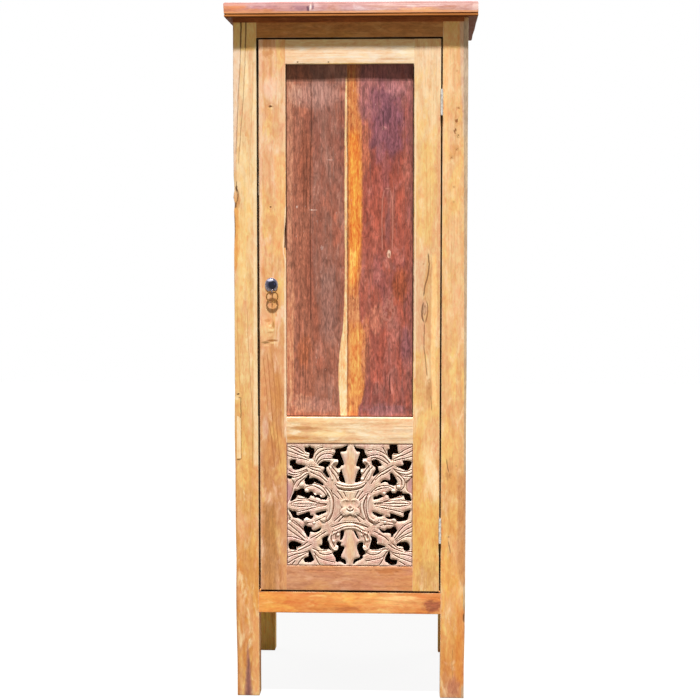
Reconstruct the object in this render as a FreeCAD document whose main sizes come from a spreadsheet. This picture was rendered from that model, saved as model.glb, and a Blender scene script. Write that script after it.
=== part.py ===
import FreeCAD, Part
import math
import os
import re
import Sketcher
from FreeCAD import Placement, Rotation, Vector

# Single-door wardrobe of reclaimed boards, in millimetres.
# X runs to the right, Y to the back and Z up; the origin is on the floor under the middle of the top.

sizes = {
    # whole cabinet
    "total_height": 1800,
    "carcase_width": 600,
    "carcase_depth": 490,
    "side_overhang": 24,
    "front_overhang": 22,
    "rear_overhang": 8,
    "leg_height": 224.5,
    # top boards and the strip under their front edge
    "top_thickness": 37,
    "top_face_height": 28,
    "top_groove_height": 3,
    "top_groove_depth": 4,
    "top_front_board_depth": 180,
    "top_rear_board_depth": 165,
    "cornice_height": 11,
    "cornice_thickness": 4,
    "cornice_end_gap": 11,
    # posts
    "left_post_width": 61,
    "right_post_width": 65,
    "front_post_depth": 48,
    "rear_post_depth": 45,
    "foot_taper": 4,
    "post_arris": 2.5,
    "patch_width": 10,
    "patch_height": 160,
    "patch_thickness": 4,
    "patch_edge": 5,
    "patch_rise": 407.5,
    # rails of the case
    "front_rail_thickness": 24,
    "top_rail_height": 50,
    "bottom_rail_height": 56,
    "rail_thickness": 22,
    "rail_inset": 4,
    "side_top_rail_height": 70,
    "side_bottom_rail_height": 76,
    "rear_rail_height": 70,
    # joints between the boards
    "panel_thickness": 9,
    "groove_depth": 10,
    "panel_play": 1.5,
    "tenon_length": 25,
    "tenon_shoulder": 8,
    "tenon_end_gap": 0.5,
    "joint_clearance": 0.2,
    "tongue_thickness": 3,
    "tongue_length": 5,
    # floor and inside fittings
    "floor_thickness": 15,
    "floor_front_board_depth": 225,
    "floor_cleat_width": 20,
    "floor_cleat_height": 22,
    "shelf_drop": 283,
    "shelf_thickness": 18,
    "shelf_cleat_height": 72,
    "shelf_cleat_thickness": 22,
    "shelf_cleat_lap": 15,
    "hanging_rail_radius": 12.5,
    "hanging_rail_wall": 1.5,
    "hanging_rail_drop": 38,
    "socket_radius": 28,
    "socket_thickness": 3,
    "socket_cup_wall": 3,
    "socket_cup_depth": 14,
    "socket_screw_offset": 22,
    "block_width": 28,
    "block_length": 60,
    # door
    "door_thickness": 30,
    "door_top_gap": 3.5,
    "door_bottom_gap": 4,
    "door_latch_gap": 4,
    "stile_width": 69.5,
    "door_top_rail_height": 63,
    "door_middle_rail_height": 69,
    "door_bottom_rail_height": 65.5,
    "door_tenon_length": 40,
    "ledge_wear": 4,
    "panel_setback": 15,
    "left_panel_width": 156.5,
    # carved panel
    "carved_opening_height": 321.5,
    "carving_setback": 3,
    "relief_height": 5,
    "carving_margin": 0.5,
    "arc_bead_radius": 4,
    "arc_bead_pitch": 8.5,
    "petal_radius": 13,
    "petal_offset": 9,
    "button_radius": 8,
    # butt hinges
    "hinge_height": 64,
    "knuckle_radius": 3.75,
    "hinge_pin_radius": 1.75,
    "hinge_pin_clearance": 0.05,
    "pin_cap_radius": 2.8,
    "pin_cap_height": 1.2,
    "leaf_thickness": 1.5,
    "leaf_gap": 0.5,
    "leaf_depth": 28,
    "knuckle_gap": 0.3,
    "upper_hinge_drop": 160.5,
    "lower_hinge_rise": 161.5,
    # screws
    "screw_head_radius": 3,
    "screw_head_height": 1.5,
    "screw_radius": 1.5,
    "screw_length": 14,
    "screw_clearance": 0.05,
    # magnetic catch behind the closing stile
    "catch_drop": 369.5,
    "catch_width": 16,
    "catch_body_height": 32,
    "catch_ear_height": 9,
    "catch_ear_thickness": 2.5,
    "magnet_width": 8,
    "magnet_height": 24,
    "magnet_depth": 9,
    "strike_thickness": 1.2,
    "strike_width": 14,
    "strike_edge": 1.5,
    "strike_height": 36,
    # ring pull
    "pull_edge": 31.5,
    "rose_radius": 16,
    "rose_drop": 12,
    "rose_thickness": 2,
    "dome_radius": 15.5,
    "dome_height": 14,
    "eye_bore_radius": 2.4,
    "eye_radius": 5,
    "eye_width": 4,
    "eye_reach": 4.2,
    "ring_radius": 16,
    "ring_wire_radius": 1.75,
    "stud_radius": 2.5,
    "stud_clearance": 0.1,
    "nut_radius": 4.6,
    "nut_height": 4,
    "washer_radius": 7,
    "washer_thickness": 1.2,
    # running clearances and the overrun of every cut
    "swing_clearance": 0.5,
    "overrun": 1,
}

pull_place_share = 0.562

# places that follow from the sizes
places = {
    "left_outer": "0 - carcase_width / 2",
    "right_outer": "carcase_width / 2",
    "left_inner": "left_outer + left_post_width",
    "right_inner": "right_outer - right_post_width",
    "top_left": "left_outer - side_overhang",
    "top_right": "right_outer + side_overhang",
    "top_front": "0 - (carcase_depth + front_overhang + rear_overhang) / 2",
    "front": "top_front + front_overhang",
    "rear": "front + carcase_depth",
    "top_rear": "rear + rear_overhang",
    "front_post_back": "front + front_post_depth",
    "rear_post_face": "rear - rear_post_depth",
    "top_underside": "total_height - top_thickness",
    "bead_top": "total_height - top_face_height - top_groove_height",
    "front_rail_back": "front + front_rail_thickness",
    "front_tenon": "front + (front_rail_thickness - panel_thickness) / 2",
    "left_rail_inner": "left_outer + rail_inset + rail_thickness",
    "right_rail_inner": "right_outer - rail_inset - rail_thickness",
    "left_panel_face": "left_outer + rail_inset + (rail_thickness - panel_thickness) / 2",
    "right_panel_face": "right_outer - rail_inset - (rail_thickness + panel_thickness) / 2",
    "rear_rail_inner": "rear - rail_inset - rail_thickness",
    "back_face": "rear - rail_inset - (rail_thickness + panel_thickness) / 2",
    "panel_edge": "groove_depth - panel_play",
    "floor_top": "leg_height + bottom_rail_height",
    "floor_low": "floor_top - floor_thickness",
    "floor_seam": "front_rail_back + floor_front_board_depth",
    "rail_middle": "(door_back + back_face) / 2",
    "shelf_height": "top_underside - shelf_drop",
    "hanging_rail_height": "shelf_height - hanging_rail_drop",
    "left_cleat_face": "left_inner + shelf_cleat_thickness",
    "right_cleat_face": "right_inner - shelf_cleat_thickness",
    "hinge_x": "right_inner - leaf_thickness - leaf_gap / 2",
    "hinge_y": "front - knuckle_radius",
    "upper_hinge_height": "door_high - upper_hinge_drop",
    "lower_hinge_height": "door_low + lower_hinge_rise",
    "leaf_screw_y": "front + (leaf_depth - knuckle_radius) / 2",
    "door_left": "left_inner + door_latch_gap",
    "door_right": "hinge_x - leaf_gap / 2 - leaf_thickness",
    "door_low": "floor_top + door_bottom_gap",
    "door_high": "top_underside - top_rail_height - door_top_gap",
    "door_back": "front + door_thickness",
    "left_stile_inner": "door_left + stile_width",
    "right_stile_inner": "door_right - stile_width",
    "carving_low": "door_low + door_bottom_rail_height",
    "carving_high": "carving_low + carved_opening_height",
    "upper_low": "carving_high + door_middle_rail_height",
    "upper_high": "door_high - door_top_rail_height",
    "panel_front": "front + panel_setback",
    "panel_back": "panel_front + panel_thickness",
    "panel_seam": "left_stile_inner + left_panel_width",
    "carving_middle_x": "(left_stile_inner + right_stile_inner) / 2",
    "carving_middle_z": "(carving_low + carving_high) / 2",
    "carving_half_width": "(right_stile_inner - left_stile_inner) / 2",
    "carving_half_height": "carved_opening_height / 2",
    "carving_field": "front + carving_setback + relief_height",
    "patch_low": "leg_height + patch_rise",
    "catch_height": "door_high - catch_drop",
    "strike_front": "door_left + strike_edge",
    "catch_face": "door_back + strike_thickness + swing_clearance",
    "pull_x": "door_left + pull_edge",
    "pull_height": f"door_low + {pull_place_share} * (door_high - door_low)",
    "rose_face": "front - rose_thickness",
    "ring_pivot_y": "rose_face - eye_reach",
    "ring_pivot_z": "pull_height - dome_radius - ring_wire_radius - swing_clearance",
}

# pierced openings of one quarter of the carving, as shares of its half width and half height
fret_shares = {
    "spear_side": [
        (0.038, 0.975), (0.208, 0.913), (0.272, 0.774), (0.200, 0.752), (0.173, 0.700), (0.200, 0.613),
        (0.137, 0.650), (0.095, 0.635), (0.116, 0.760), (0.151, 0.862), (0.066, 0.891),
    ],
    "spear_foot": [(0.144, 0.569), (0.165, 0.466), (0.144, 0.393), (0.086, 0.371), (0.116, 0.510)],
    "branch_fork": [
        (0.491, 0.664), (0.399, 0.723), (0.314, 0.723), (0.335, 0.642), (0.364, 0.569), (0.328, 0.466),
        (0.399, 0.510), (0.420, 0.569), (0.385, 0.642),
    ],
    "corner_upper": [
        (0.703, 0.935), (0.639, 0.950), (0.618, 0.972), (0.576, 0.921), (0.583, 0.833), (0.625, 0.767),
        (0.639, 0.840), (0.703, 0.884),
    ],
    "corner_side": [
        (0.936, 0.730), (0.866, 0.730), (0.837, 0.686), (0.724, 0.657), (0.844, 0.591), (0.929, 0.657),
    ],
    "leaf_fork": [
        (0.682, 0.481), (0.646, 0.496), (0.653, 0.437), (0.540, 0.452), (0.427, 0.342), (0.540, 0.378),
        (0.668, 0.342), (0.710, 0.408),
    ],
    "side_spear": [
        (0.943, 0.085), (0.837, 0.239), (0.767, 0.276), (0.724, 0.217), (0.611, 0.217), (0.569, 0.158),
        (0.470, 0.158), (0.392, 0.092), (0.498, 0.107), (0.625, 0.158), (0.653, 0.122), (0.823, 0.158),
        (0.894, 0.107),
    ],
}

# half outline of a spear leaf: share across the leaf, then share from the middle of the carving to its edge
spear_shares = [
    (0.050, 0.960), (0.045, 0.885), (0.120, 0.860), (0.070, 0.700), (0.110, 0.620), (0.062, 0.400),
]
spear_tip_share = 0.990
spear_taper = -25
arc_radius_share = 0.34
arc_centre_share = 0.585
arc_spread = 124
hinge_screw_share = 0.34
block_place_share = 0.2
knuckle_count = 5

doc = FreeCAD.newDocument("Wardrobe")
dims = doc.addObject("Spreadsheet::Sheet", "Dims")
for row, (alias, size) in enumerate(sizes.items(), 1):
    dims.set(f"A{row}", alias)
    dims.set(f"B{row}", str(size))
    dims.setAlias(f"B{row}", alias)
doc.recompute()

nodes = {}
axis_turns = {
    "+x": Rotation(Vector(0, 1, 0), 90),
    "-x": Rotation(Vector(0, 1, 0), -90),
    "+y": Rotation(Vector(1, 0, 0), -90),
    "-y": Rotation(Vector(1, 0, 0), 90),
    "+z": Rotation(),
}


def bound(text):
    # spell a formula of sizes and places in cells of the sheet
    def swap(found):
        word = found.group(0)
        if word in places:
            return f"({bound(places[word])})"
        return f"Dims.{word}"
    return re.sub("[a-z_]+", swap, str(text))


def keep(item):
    nodes[item.Label] = item
    return item


def put(item, place, turn="+z"):
    item.Placement = Placement(Vector(), axis_turns[turn])
    for axis, text in zip("xyz", place):
        item.setExpression(f"Placement.Base.{axis}", bound(text))
    return item


def box(label, x_span, y_span, z_span):
    block = doc.addObject("Part::Box", label)
    for side, (low, high) in zip(("Length", "Width", "Height"), (x_span, y_span, z_span)):
        block.setExpression(side, bound(f"({high}) - ({low})"))
    return put(block, (x_span[0], y_span[0], z_span[0]))


def rod(label, radius, length, place, turn):
    item = doc.addObject("Part::Cylinder", label)
    item.setExpression("Radius", bound(radius))
    item.setExpression("Height", bound(length))
    return put(item, place, turn)


def torus(label, radius, wire, place, turn):
    item = doc.addObject("Part::Torus", label)
    item.setExpression("Radius1", bound(radius))
    item.setExpression("Radius2", bound(wire))
    return put(item, place, turn)


def cap(label, radius, height, place):
    # spherical cap that stands on the plane through its place and rises towards the front
    curve = f"(({radius}) * ({radius}) + ({height}) * ({height})) / (2 * ({height}))"
    item = doc.addObject("Part::Sphere", label)
    item.setExpression("Radius", bound(curve))
    item.setExpression("Angle1", f"asin(1 - ({bound(height)}) / ({bound(curve)}))")
    return put(item, (place[0], f"{place[1]} + {curve} - ({height})", place[2]), "-y")


def fuse(label, items):
    joined = doc.addObject("Part::MultiFuse", label)
    joined.Shapes = items
    joined.Refine = True
    return joined


def cut(label, base, tools):
    trimmed = doc.addObject("Part::Cut", label)
    trimmed.Base = base
    trimmed.Tool = tools[0] if len(tools) == 1 else fuse(f"{label}_cuts", tools)
    trimmed.Refine = True
    return trimmed


def group(label, items):
    bunch = doc.addObject("Part::Compound", label)
    bunch.Links = items
    return keep(bunch)


def origin_plane(body, role):
    return next(feature for feature in body.Origin.OriginFeatures if feature.Role == role)


def outline(sketch, corners):
    # closed straight-sided loop whose corners are dimensioned from the sketch's origin
    count = len(corners)
    first = sketch.GeometryCount
    turns = [2 * math.pi * index / count for index in range(count)]
    ring = [Vector(math.cos(turn), math.sin(turn), 0) for turn in turns]
    for index in range(count):
        sketch.addGeometry(Part.LineSegment(ring[index], ring[(index + 1) % count]))
    for index in range(count):
        follower = first + (index + 1) % count
        sketch.addConstraint(Sketcher.Constraint("Coincident", first + index, 2, follower, 1))
    for index, corner in enumerate(corners):
        for kind, text in zip(("DistanceX", "DistanceY"), corner):
            number = sketch.addConstraint(Sketcher.Constraint(kind, -1, 1, first + index, 1, 1))
            sketch.setExpression(f"Constraints[{number}]", bound(text))


def sketch_on(body, label, role, offset, loops):
    sketch = body.newObject("Sketcher::SketchObject", label)
    sketch.AttachmentSupport = [(origin_plane(body, role), "")]
    sketch.MapMode = "FlatFace"
    sketch.setExpression("AttachmentOffset.Base.z", bound(offset))
    for corners in loops:
        outline(sketch, corners)
    return sketch


def profile(label, role, corners, low, high):
    # a board whose section is drawn on an origin plane and padded from low to high across it
    body = doc.addObject("PartDesign::Body", label)
    offset = f"0 - ({high})" if role == "XZ_Plane" else low
    pad = body.newObject("PartDesign::Pad", f"{label}_pad")
    pad.Profile = sketch_on(body, f"{label}_section", role, offset, [corners])
    pad.setExpression("Length", bound(f"({high}) - ({low})"))
    return body


def eased(span, slack="joint_clearance"):
    return (f"{span[0]} - {slack}", f"{span[1]} + {slack}")


# Screws: one countersunk pattern for all the fittings, and the hole that each one leaves

def screw(label, place, turn):
    head = doc.addObject("Part::Cone", f"{label}_head")
    head.setExpression("Radius1", bound("screw_head_radius"))
    head.setExpression("Radius2", bound("screw_radius"))
    head.setExpression("Height", bound("screw_head_height"))
    put(head, place, turn)
    shank = rod(f"{label}_shank", "screw_radius", "screw_length", place, turn)
    return fuse(label, [head, shank])


def screw_hole(label, place, turn):
    sink = doc.addObject("Part::Cone", f"{label}_sink")
    sink.setExpression("Radius1", bound("screw_head_radius + screw_clearance"))
    sink.setExpression("Radius2", bound("screw_radius + screw_clearance"))
    sink.setExpression("Height", bound("screw_head_height"))
    put(sink, place, turn)
    radius, depth = "screw_radius + screw_clearance", "screw_length + screw_clearance"
    return fuse(label, [sink, rod(f"{label}_bore", radius, depth, place, turn)])


carcase_screws = []
door_screws = []
leaf_holes = {}
leaf_sides = (("post", "+x", "+", carcase_screws), ("door", "-x", "-", door_screws))
for hinge in ("upper", "lower"):
    for step in (-1, 0, 1):
        height = f"{hinge}_hinge_height + {step} * {hinge_screw_share} * hinge_height"
        for leaf, turn, side, bunch in leaf_sides:
            place = (f"hinge_x {side} leaf_gap / 2", "leaf_screw_y", height)
            name = f"{hinge}_{leaf}_screw_{step + 1}"
            bunch.append(screw(name, place, turn))
            leaf_holes.setdefault((hinge, leaf), []).append(screw_hole(f"{name}_hole", place, turn))

post_hinge_holes = leaf_holes["upper", "post"] + leaf_holes["lower", "post"]
stile_hinge_holes = leaf_holes["upper", "door"] + leaf_holes["lower", "door"]

socket_holes = {}
for side, turn, sign in (("left", "-x", "+"), ("right", "+x", "-")):
    for step in (-1, 1):
        place = (
            f"{side}_cleat_face {sign} socket_thickness",
            "rail_middle",
            f"hanging_rail_height + {step} * socket_screw_offset",
        )
        name = f"{side}_socket_screw_{step + 1}"
        carcase_screws.append(screw(name, place, turn))
        socket_holes.setdefault(side, []).append(screw_hole(f"{name}_hole", place, turn))

catch_holes = []
for step in (-1, 1):
    place = (
        "left_inner + catch_ear_thickness",
        "(catch_face + front_post_back) / 2",
        f"catch_height + {step} * (catch_body_height + catch_ear_height) / 2",
    )
    carcase_screws.append(screw(f"catch_screw_{step + 1}", place, "-x"))
    catch_holes.append(screw_hole(f"catch_screw_{step + 1}_hole", place, "-x"))

strike_place = ("strike_front + strike_width / 2", "door_back + strike_thickness", "catch_height")
door_screws.append(screw("strike_screw", strike_place, "-y"))
strike_hole = screw_hole("strike_screw_hole", strike_place, "-y")


# Rails of the case: where each one runs and how its tenons enter the posts

front_rails = {
    "front_top_rail": ("top_underside - top_rail_height", "top_underside"),
    "front_bottom_rail": ("leg_height", "floor_top"),
}
side_rails = {
    "top": (
        ("top_underside - side_top_rail_height", "top_underside"),
        ("groove_depth", "tenon_shoulder"),
    ),
    "middle": (("carving_high", "upper_low"), ("groove_depth", "groove_depth")),
    "bottom": (
        ("leg_height", "leg_height + side_bottom_rail_height"),
        ("tenon_shoulder", "groove_depth"),
    ),
}
rear_rails = {
    "rear_top_rail": (
        ("top_underside - rear_rail_height", "top_underside"),
        ("groove_depth", "tenon_shoulder"),
    ),
    "rear_bottom_rail": (
        ("leg_height", "leg_height + rear_rail_height"),
        ("tenon_shoulder", "groove_depth"),
    ),
}


def tenon_span(z_span, shoulders):
    return (f"{z_span[0]} + {shoulders[0]}", f"{z_span[1]} - {shoulders[1]}")


def panel_span(side):
    return (f"{side}_panel_face", f"{side}_panel_face + panel_thickness")


front_tenon_span = ("front_tenon", "front_tenon + panel_thickness")
back_span = ("back_face", "back_face + panel_thickness")
frame_groove_span = ("leg_height + tenon_shoulder", "top_underside - tenon_shoulder")
even_shoulders = ("tenon_shoulder", "tenon_shoulder")


def post(label, side, row):
    # tapered leg and post in one length, mortised for the rails and grooved for the panels
    outward, inward = ("-", "+") if side == "left" else ("+", "-")
    inner, outer = f"{side}_inner", f"{side}_outer"
    eased_x, foot_x = f"{outer} {inward} post_arris", f"{outer} {inward} foot_taper"
    beyond = f"{outer} {outward} overrun"
    low, high = ("front", "front_post_back") if row == "front" else ("rear_post_face", "rear")
    section = [
        (inner, low), (inner, high), (eased_x, high), (outer, f"{high} - post_arris"),
        (outer, f"{low} + post_arris"), (eased_x, low),
    ]
    taper = [
        (outer, "leg_height"), (foot_x, "0"), (foot_x, "0 - overrun"), (beyond, "0 - overrun"),
        (beyond, "leg_height"),
    ]
    blank = profile(f"{label}_blank", "XY_Plane", section, "0", "top_underside")

    def across(depth):
        bottom, mouth = f"{inner} {outward} {depth}", f"{inner} {inward} overrun"
        return (bottom, mouth) if side == "left" else (mouth, bottom)

    def along(depth):
        if row == "front":
            return (f"front_post_back - {depth}", "front_post_back + overrun")
        return ("rear_post_face - overrun", f"rear_post_face + {depth}")

    deep = "(tenon_length + tenon_end_gap)"
    cuts = [profile(f"{label}_taper", "XZ_Plane", taper, low, high)]
    if row == "front":
        for rail, z_span in front_rails.items():
            mortise_z = eased(tenon_span(z_span, even_shoulders))
            cuts.append(box(f"{label}_{rail}", across(deep), eased(front_tenon_span), mortise_z))
    else:
        for rail, spans in rear_rails.items():
            cuts.append(box(f"{label}_{rail}", across(deep), eased(back_span), eased(tenon_span(*spans))))
        groove_x = across("groove_depth")
        cuts.append(box(f"{label}_back_groove", groove_x, eased(back_span), eased(frame_groove_span)))
    side_x = eased(panel_span(side))
    for rail, spans in side_rails.items():
        cuts.append(box(f"{label}_side_{rail}", side_x, along(deep), eased(tenon_span(*spans))))
    cuts.append(box(f"{label}_side_groove", side_x, along("groove_depth"), eased(frame_groove_span)))
    return blank, cuts


patch_spans = (
    ("left_outer + patch_edge", "left_outer + patch_edge + patch_width"),
    ("front", "front + patch_thickness"),
    ("patch_low", "patch_low + patch_height"),
)
keep(box("left_post_patch", *patch_spans))

for side in ("left", "right"):
    for row in ("front", "rear"):
        label = f"{row}_{side}_post"
        blank, cuts = post(label, side, row)
        if label == "front_left_post":
            patch_depth = ("front - overrun", "front + patch_thickness + joint_clearance")
            cuts.append(box("patch_recess", eased(patch_spans[0]), patch_depth, eased(patch_spans[2])))
            cuts += catch_holes
        if label == "front_right_post":
            cuts += post_hinge_holes
        keep(cut(label, blank, cuts))

for label, z_span in front_rails.items():
    board = box(f"{label}_board", ("left_inner", "right_inner"), ("front", "front_rail_back"), z_span)
    x_span = ("left_inner - tenon_length", "right_inner + tenon_length")
    tenon = box(f"{label}_tenon", x_span, front_tenon_span, tenon_span(z_span, even_shoulders))
    keep(fuse(label, [board, tenon]))


def panel_rail(label, board_spans, tenon_spans, groove_spans):
    # a rail with a tenon at each end and a groove in every edge that meets a panel
    body = fuse(f"{label}_body", [box(f"{label}_board", *board_spans), box(f"{label}_tenon", *tenon_spans)])
    grooves = [box(f"{label}_groove_{number}", *spans) for number, spans in enumerate(groove_spans)]
    return cut(label, body, grooves)


def edge_grooves(z_span, shoulders):
    spans = []
    if shoulders[0] == "groove_depth":
        spans.append((f"{z_span[0]} - overrun", f"{z_span[0]} + groove_depth"))
    if shoulders[1] == "groove_depth":
        spans.append((f"{z_span[1]} - groove_depth", f"{z_span[1]} + overrun"))
    return spans


for side in ("left", "right"):
    x_span = panel_span(side)
    board_x = (f"{side}_panel_face - (rail_thickness - panel_thickness) / 2",
               f"{side}_panel_face + (rail_thickness + panel_thickness) / 2")
    y_span = ("front_post_back", "rear_post_face")
    tenon_y = ("front_post_back - tenon_length", "rear_post_face + tenon_length")
    for rail, (z_span, shoulders) in side_rails.items():
        label = f"{side}_side_{rail}_rail"
        tenon_spans = (x_span, tenon_y, tenon_span(z_span, shoulders))
        grooves = [(eased(x_span), y_span, span) for span in edge_grooves(z_span, shoulders)]
        keep(panel_rail(label, (board_x, y_span, z_span), tenon_spans, grooves))
    panel_y = ("front_post_back - panel_edge", "rear_post_face + panel_edge")
    upper_z = ("upper_low - panel_edge", "top_underside - side_top_rail_height + panel_edge")
    lower_z = ("leg_height + side_bottom_rail_height - panel_edge", "carving_high + panel_edge")
    keep(box(f"{side}_side_upper_panel", x_span, panel_y, upper_z))
    keep(box(f"{side}_side_lower_panel", x_span, panel_y, lower_z))

for label, (z_span, shoulders) in rear_rails.items():
    board_y = ("rear_rail_inner", "rear - rail_inset")
    tenon_x = ("left_inner - tenon_length", "right_inner + tenon_length")
    board_spans = (("left_inner", "right_inner"), board_y, z_span)
    tenon_spans = (tenon_x, back_span, tenon_span(z_span, shoulders))
    grooves = [(board_spans[0], eased(back_span), span) for span in edge_grooves(z_span, shoulders)]
    keep(panel_rail(label, board_spans, tenon_spans, grooves))


# Back boards, tongued and grooved to each other and let into the frame

def back_board(label, x_low, x_high, tongue, groove):
    face, far = back_span
    near = f"{face} + (panel_thickness - tongue_thickness) / 2"
    beyond = f"{face} + (panel_thickness + tongue_thickness) / 2"
    corners = [(x_low, face), (x_high, face)]
    if groove:
        deep = f"{x_high} - tongue_length - joint_clearance"
        corners += [
            (x_high, f"{near} - joint_clearance"),
            (deep, f"{near} - joint_clearance"),
            (deep, f"{beyond} + joint_clearance"),
            (x_high, f"{beyond} + joint_clearance"),
        ]
    corners += [(x_high, far), (x_low, far)]
    if tongue:
        tip = f"{x_low} - tongue_length"
        corners += [(x_low, beyond), (tip, beyond), (tip, near), (x_low, near)]
    low = "leg_height + rear_rail_height - panel_edge"
    high = "top_underside - rear_rail_height + panel_edge"
    return keep(profile(label, "XY_Plane", corners, low, high))


back_step = "(right_inner - left_inner) / 3"
back_board("back_left_board", "left_inner - panel_edge", f"left_inner + {back_step}", False, True)
back_board("back_middle_board", f"left_inner + {back_step}", f"right_inner - {back_step}", True, True)
back_board("back_right_board", f"right_inner - {back_step}", "right_inner + panel_edge", True, False)


# Top boards with a quirk and bead round the front and the ends, and the strip below

end_grooves = {
    "left": ("top_left - overrun", "top_left + top_groove_depth"),
    "right": ("top_right - top_groove_depth", "top_right + overrun"),
}
quirk_z = ("bead_top", "bead_top + top_groove_height")
middle_front = "top_front + top_front_board_depth"
middle_rear = "top_rear - top_rear_board_depth"


def top_board(label, blank, y_span):
    grooves = [box(f"{label}_{end}_quirk", span, y_span, quirk_z) for end, span in end_grooves.items()]
    keep(cut(label, blank, grooves))


quirk_back = "top_front + top_groove_depth"
front_section = [
    ("top_front", "top_underside"), (middle_front, "top_underside"), (middle_front, "total_height"),
    ("top_front", "total_height"), ("top_front", quirk_z[1]), (quirk_back, quirk_z[1]),
    (quirk_back, quirk_z[0]), ("top_front", quirk_z[0]),
]
front_blank = profile("top_front_blank", "YZ_Plane", front_section, "top_left", "top_right")
top_board("top_front_board", front_blank, ("top_front", middle_front))
for label, y_span in (
    ("top_middle_board", (middle_front, middle_rear)),
    ("top_rear_board", (middle_rear, "top_rear")),
):
    blank = box(f"{label}_blank", ("top_left", "top_right"), y_span, ("top_underside", "total_height"))
    top_board(label, blank, y_span)

keep(box(
    "front_cornice_strip",
    ("left_outer", "right_outer - cornice_end_gap"),
    ("front - cornice_thickness", "front"),
    ("top_underside - cornice_height", "top_underside"),
))

block_z = ("top_underside - block_width", "top_underside")
blocks = []
for step in (-1, 1):
    middle = f"{step} * {block_place_share} * carcase_width"
    x_span = (f"{middle} - block_length / 2", f"{middle} + block_length / 2")
    front_y = ("front_rail_back", "front_rail_back + block_width")
    rear_y = ("rear_rail_inner - block_width", "rear_rail_inner")
    blocks.append(box(f"front_block_{step + 1}", x_span, front_y, block_z))
    blocks.append(box(f"rear_block_{step + 1}", x_span, rear_y, block_z))
side_y = ("0 - block_length / 2", "block_length / 2")
blocks.append(box("left_block", ("left_rail_inner", "left_rail_inner + block_width"), side_y, block_z))
blocks.append(box("right_block", ("right_rail_inner - block_width", "right_rail_inner"), side_y, block_z))
group("top_glue_blocks", blocks)


# Floor boards notched round the posts, on cleats along the side rails

floor_left = "left_rail_inner + joint_clearance"
floor_right = "right_rail_inner - joint_clearance"
neck_left = "left_inner + joint_clearance"
neck_right = "right_inner - joint_clearance"
front_notch = "front_post_back + joint_clearance"
rear_notch = "rear_post_face - joint_clearance"
floor_front = "front_rail_back + joint_clearance"
floor_rear = "rear_rail_inner - joint_clearance"
front_corners = [
    (neck_left, floor_front), (neck_right, floor_front), (neck_right, front_notch),
    (floor_right, front_notch), (floor_right, "floor_seam"), (floor_left, "floor_seam"),
    (floor_left, front_notch), (neck_left, front_notch),
]
rear_corners = [
    (floor_left, "floor_seam"), (floor_right, "floor_seam"), (floor_right, rear_notch),
    (neck_right, rear_notch), (neck_right, floor_rear), (neck_left, floor_rear),
    (neck_left, rear_notch), (floor_left, rear_notch),
]
keep(profile("floor_front_board", "XY_Plane", front_corners, "floor_low", "floor_top"))
keep(profile("floor_rear_board", "XY_Plane", rear_corners, "floor_low", "floor_top"))
cleat_y = ("front_post_back", "rear_post_face")
cleat_z = ("floor_low - floor_cleat_height", "floor_low")
keep(box("left_floor_cleat", ("left_rail_inner", "left_rail_inner + floor_cleat_width"), cleat_y, cleat_z))
keep(box("right_floor_cleat", ("right_rail_inner - floor_cleat_width", "right_rail_inner"), cleat_y, cleat_z))


# Hat shelf on two cleats, which also carry the sockets of the hanging rail

keep(box(
    "hat_shelf",
    ("left_panel_face + panel_thickness + joint_clearance", "right_panel_face - joint_clearance"),
    (front_notch, rear_notch),
    ("shelf_height", "shelf_height + shelf_thickness"),
))
shelf_cleat_y = ("front_post_back - shelf_cleat_lap", "rear_post_face + shelf_cleat_lap")
shelf_cleat_z = ("shelf_height - shelf_cleat_height", "shelf_height")
cleat_spans = {"left": ("left_inner", "left_cleat_face"), "right": ("right_cleat_face", "right_inner")}
for side, turn, inward in (("left", "+x", "+"), ("right", "-x", "-")):
    blank = box(f"{side}_shelf_cleat_blank", cleat_spans[side], shelf_cleat_y, shelf_cleat_z)
    keep(cut(f"{side}_shelf_cleat", blank, socket_holes[side]))
    seat = (f"{side}_cleat_face", "rail_middle", "hanging_rail_height")
    flange = rod(f"{side}_socket_flange", "socket_radius", "socket_thickness", seat, turn)
    cup_bore = "hanging_rail_radius + joint_clearance"
    cup = rod(f"{side}_socket_cup", f"{cup_bore} + socket_cup_wall", "socket_cup_depth", seat, turn)
    floor = (f"{side}_cleat_face {inward} socket_thickness", "rail_middle", "hanging_rail_height")
    hollow = rod(f"{side}_socket_bore", cup_bore, "socket_cup_depth", floor, turn)
    body = fuse(f"{side}_socket_body", [flange, cup])
    keep(cut(f"{side}_rail_socket", body, [hollow] + socket_holes[side]))

rail_start = ("left_cleat_face + socket_thickness + joint_clearance", "rail_middle", "hanging_rail_height")
rail_length = "right_cleat_face - left_cleat_face - 2 * (socket_thickness + joint_clearance)"
rail_outside = rod("hanging_rail_outside", "hanging_rail_radius", rail_length, rail_start, "+x")
inner_radius = "hanging_rail_radius - hanging_rail_wall"
rail_inside = rod("hanging_rail_inside", inner_radius, rail_length, rail_start, "+x")
keep(cut("hanging_rail", rail_outside, [rail_inside]))


# Magnetic catch on the closing post and its strike plate on the door

catch_y = ("catch_face", "front_post_back")
magnet_x = ("strike_front", "strike_front + magnet_width")
magnet_y = ("catch_face", "catch_face + magnet_depth")
magnet_z = ("catch_height - magnet_height / 2", "catch_height + magnet_height / 2")
body_z = ("catch_height - catch_body_height / 2", "catch_height + catch_body_height / 2")
catch_body = box("catch_body", ("left_inner", "left_inner + catch_width"), catch_y, body_z)
ear_x = ("left_inner", "left_inner + catch_ear_thickness")
catch_plate = box("catch_plate", ear_x, catch_y, eased(body_z, "catch_ear_height"))
magnet_seat = box("magnet_seat", magnet_x, ("catch_face - overrun", magnet_y[1]), magnet_z)
keep(cut("catch_housing", fuse("catch_shell", [catch_body, catch_plate]), [magnet_seat] + catch_holes))
keep(box("catch_magnet", magnet_x, magnet_y, magnet_z))

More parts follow.
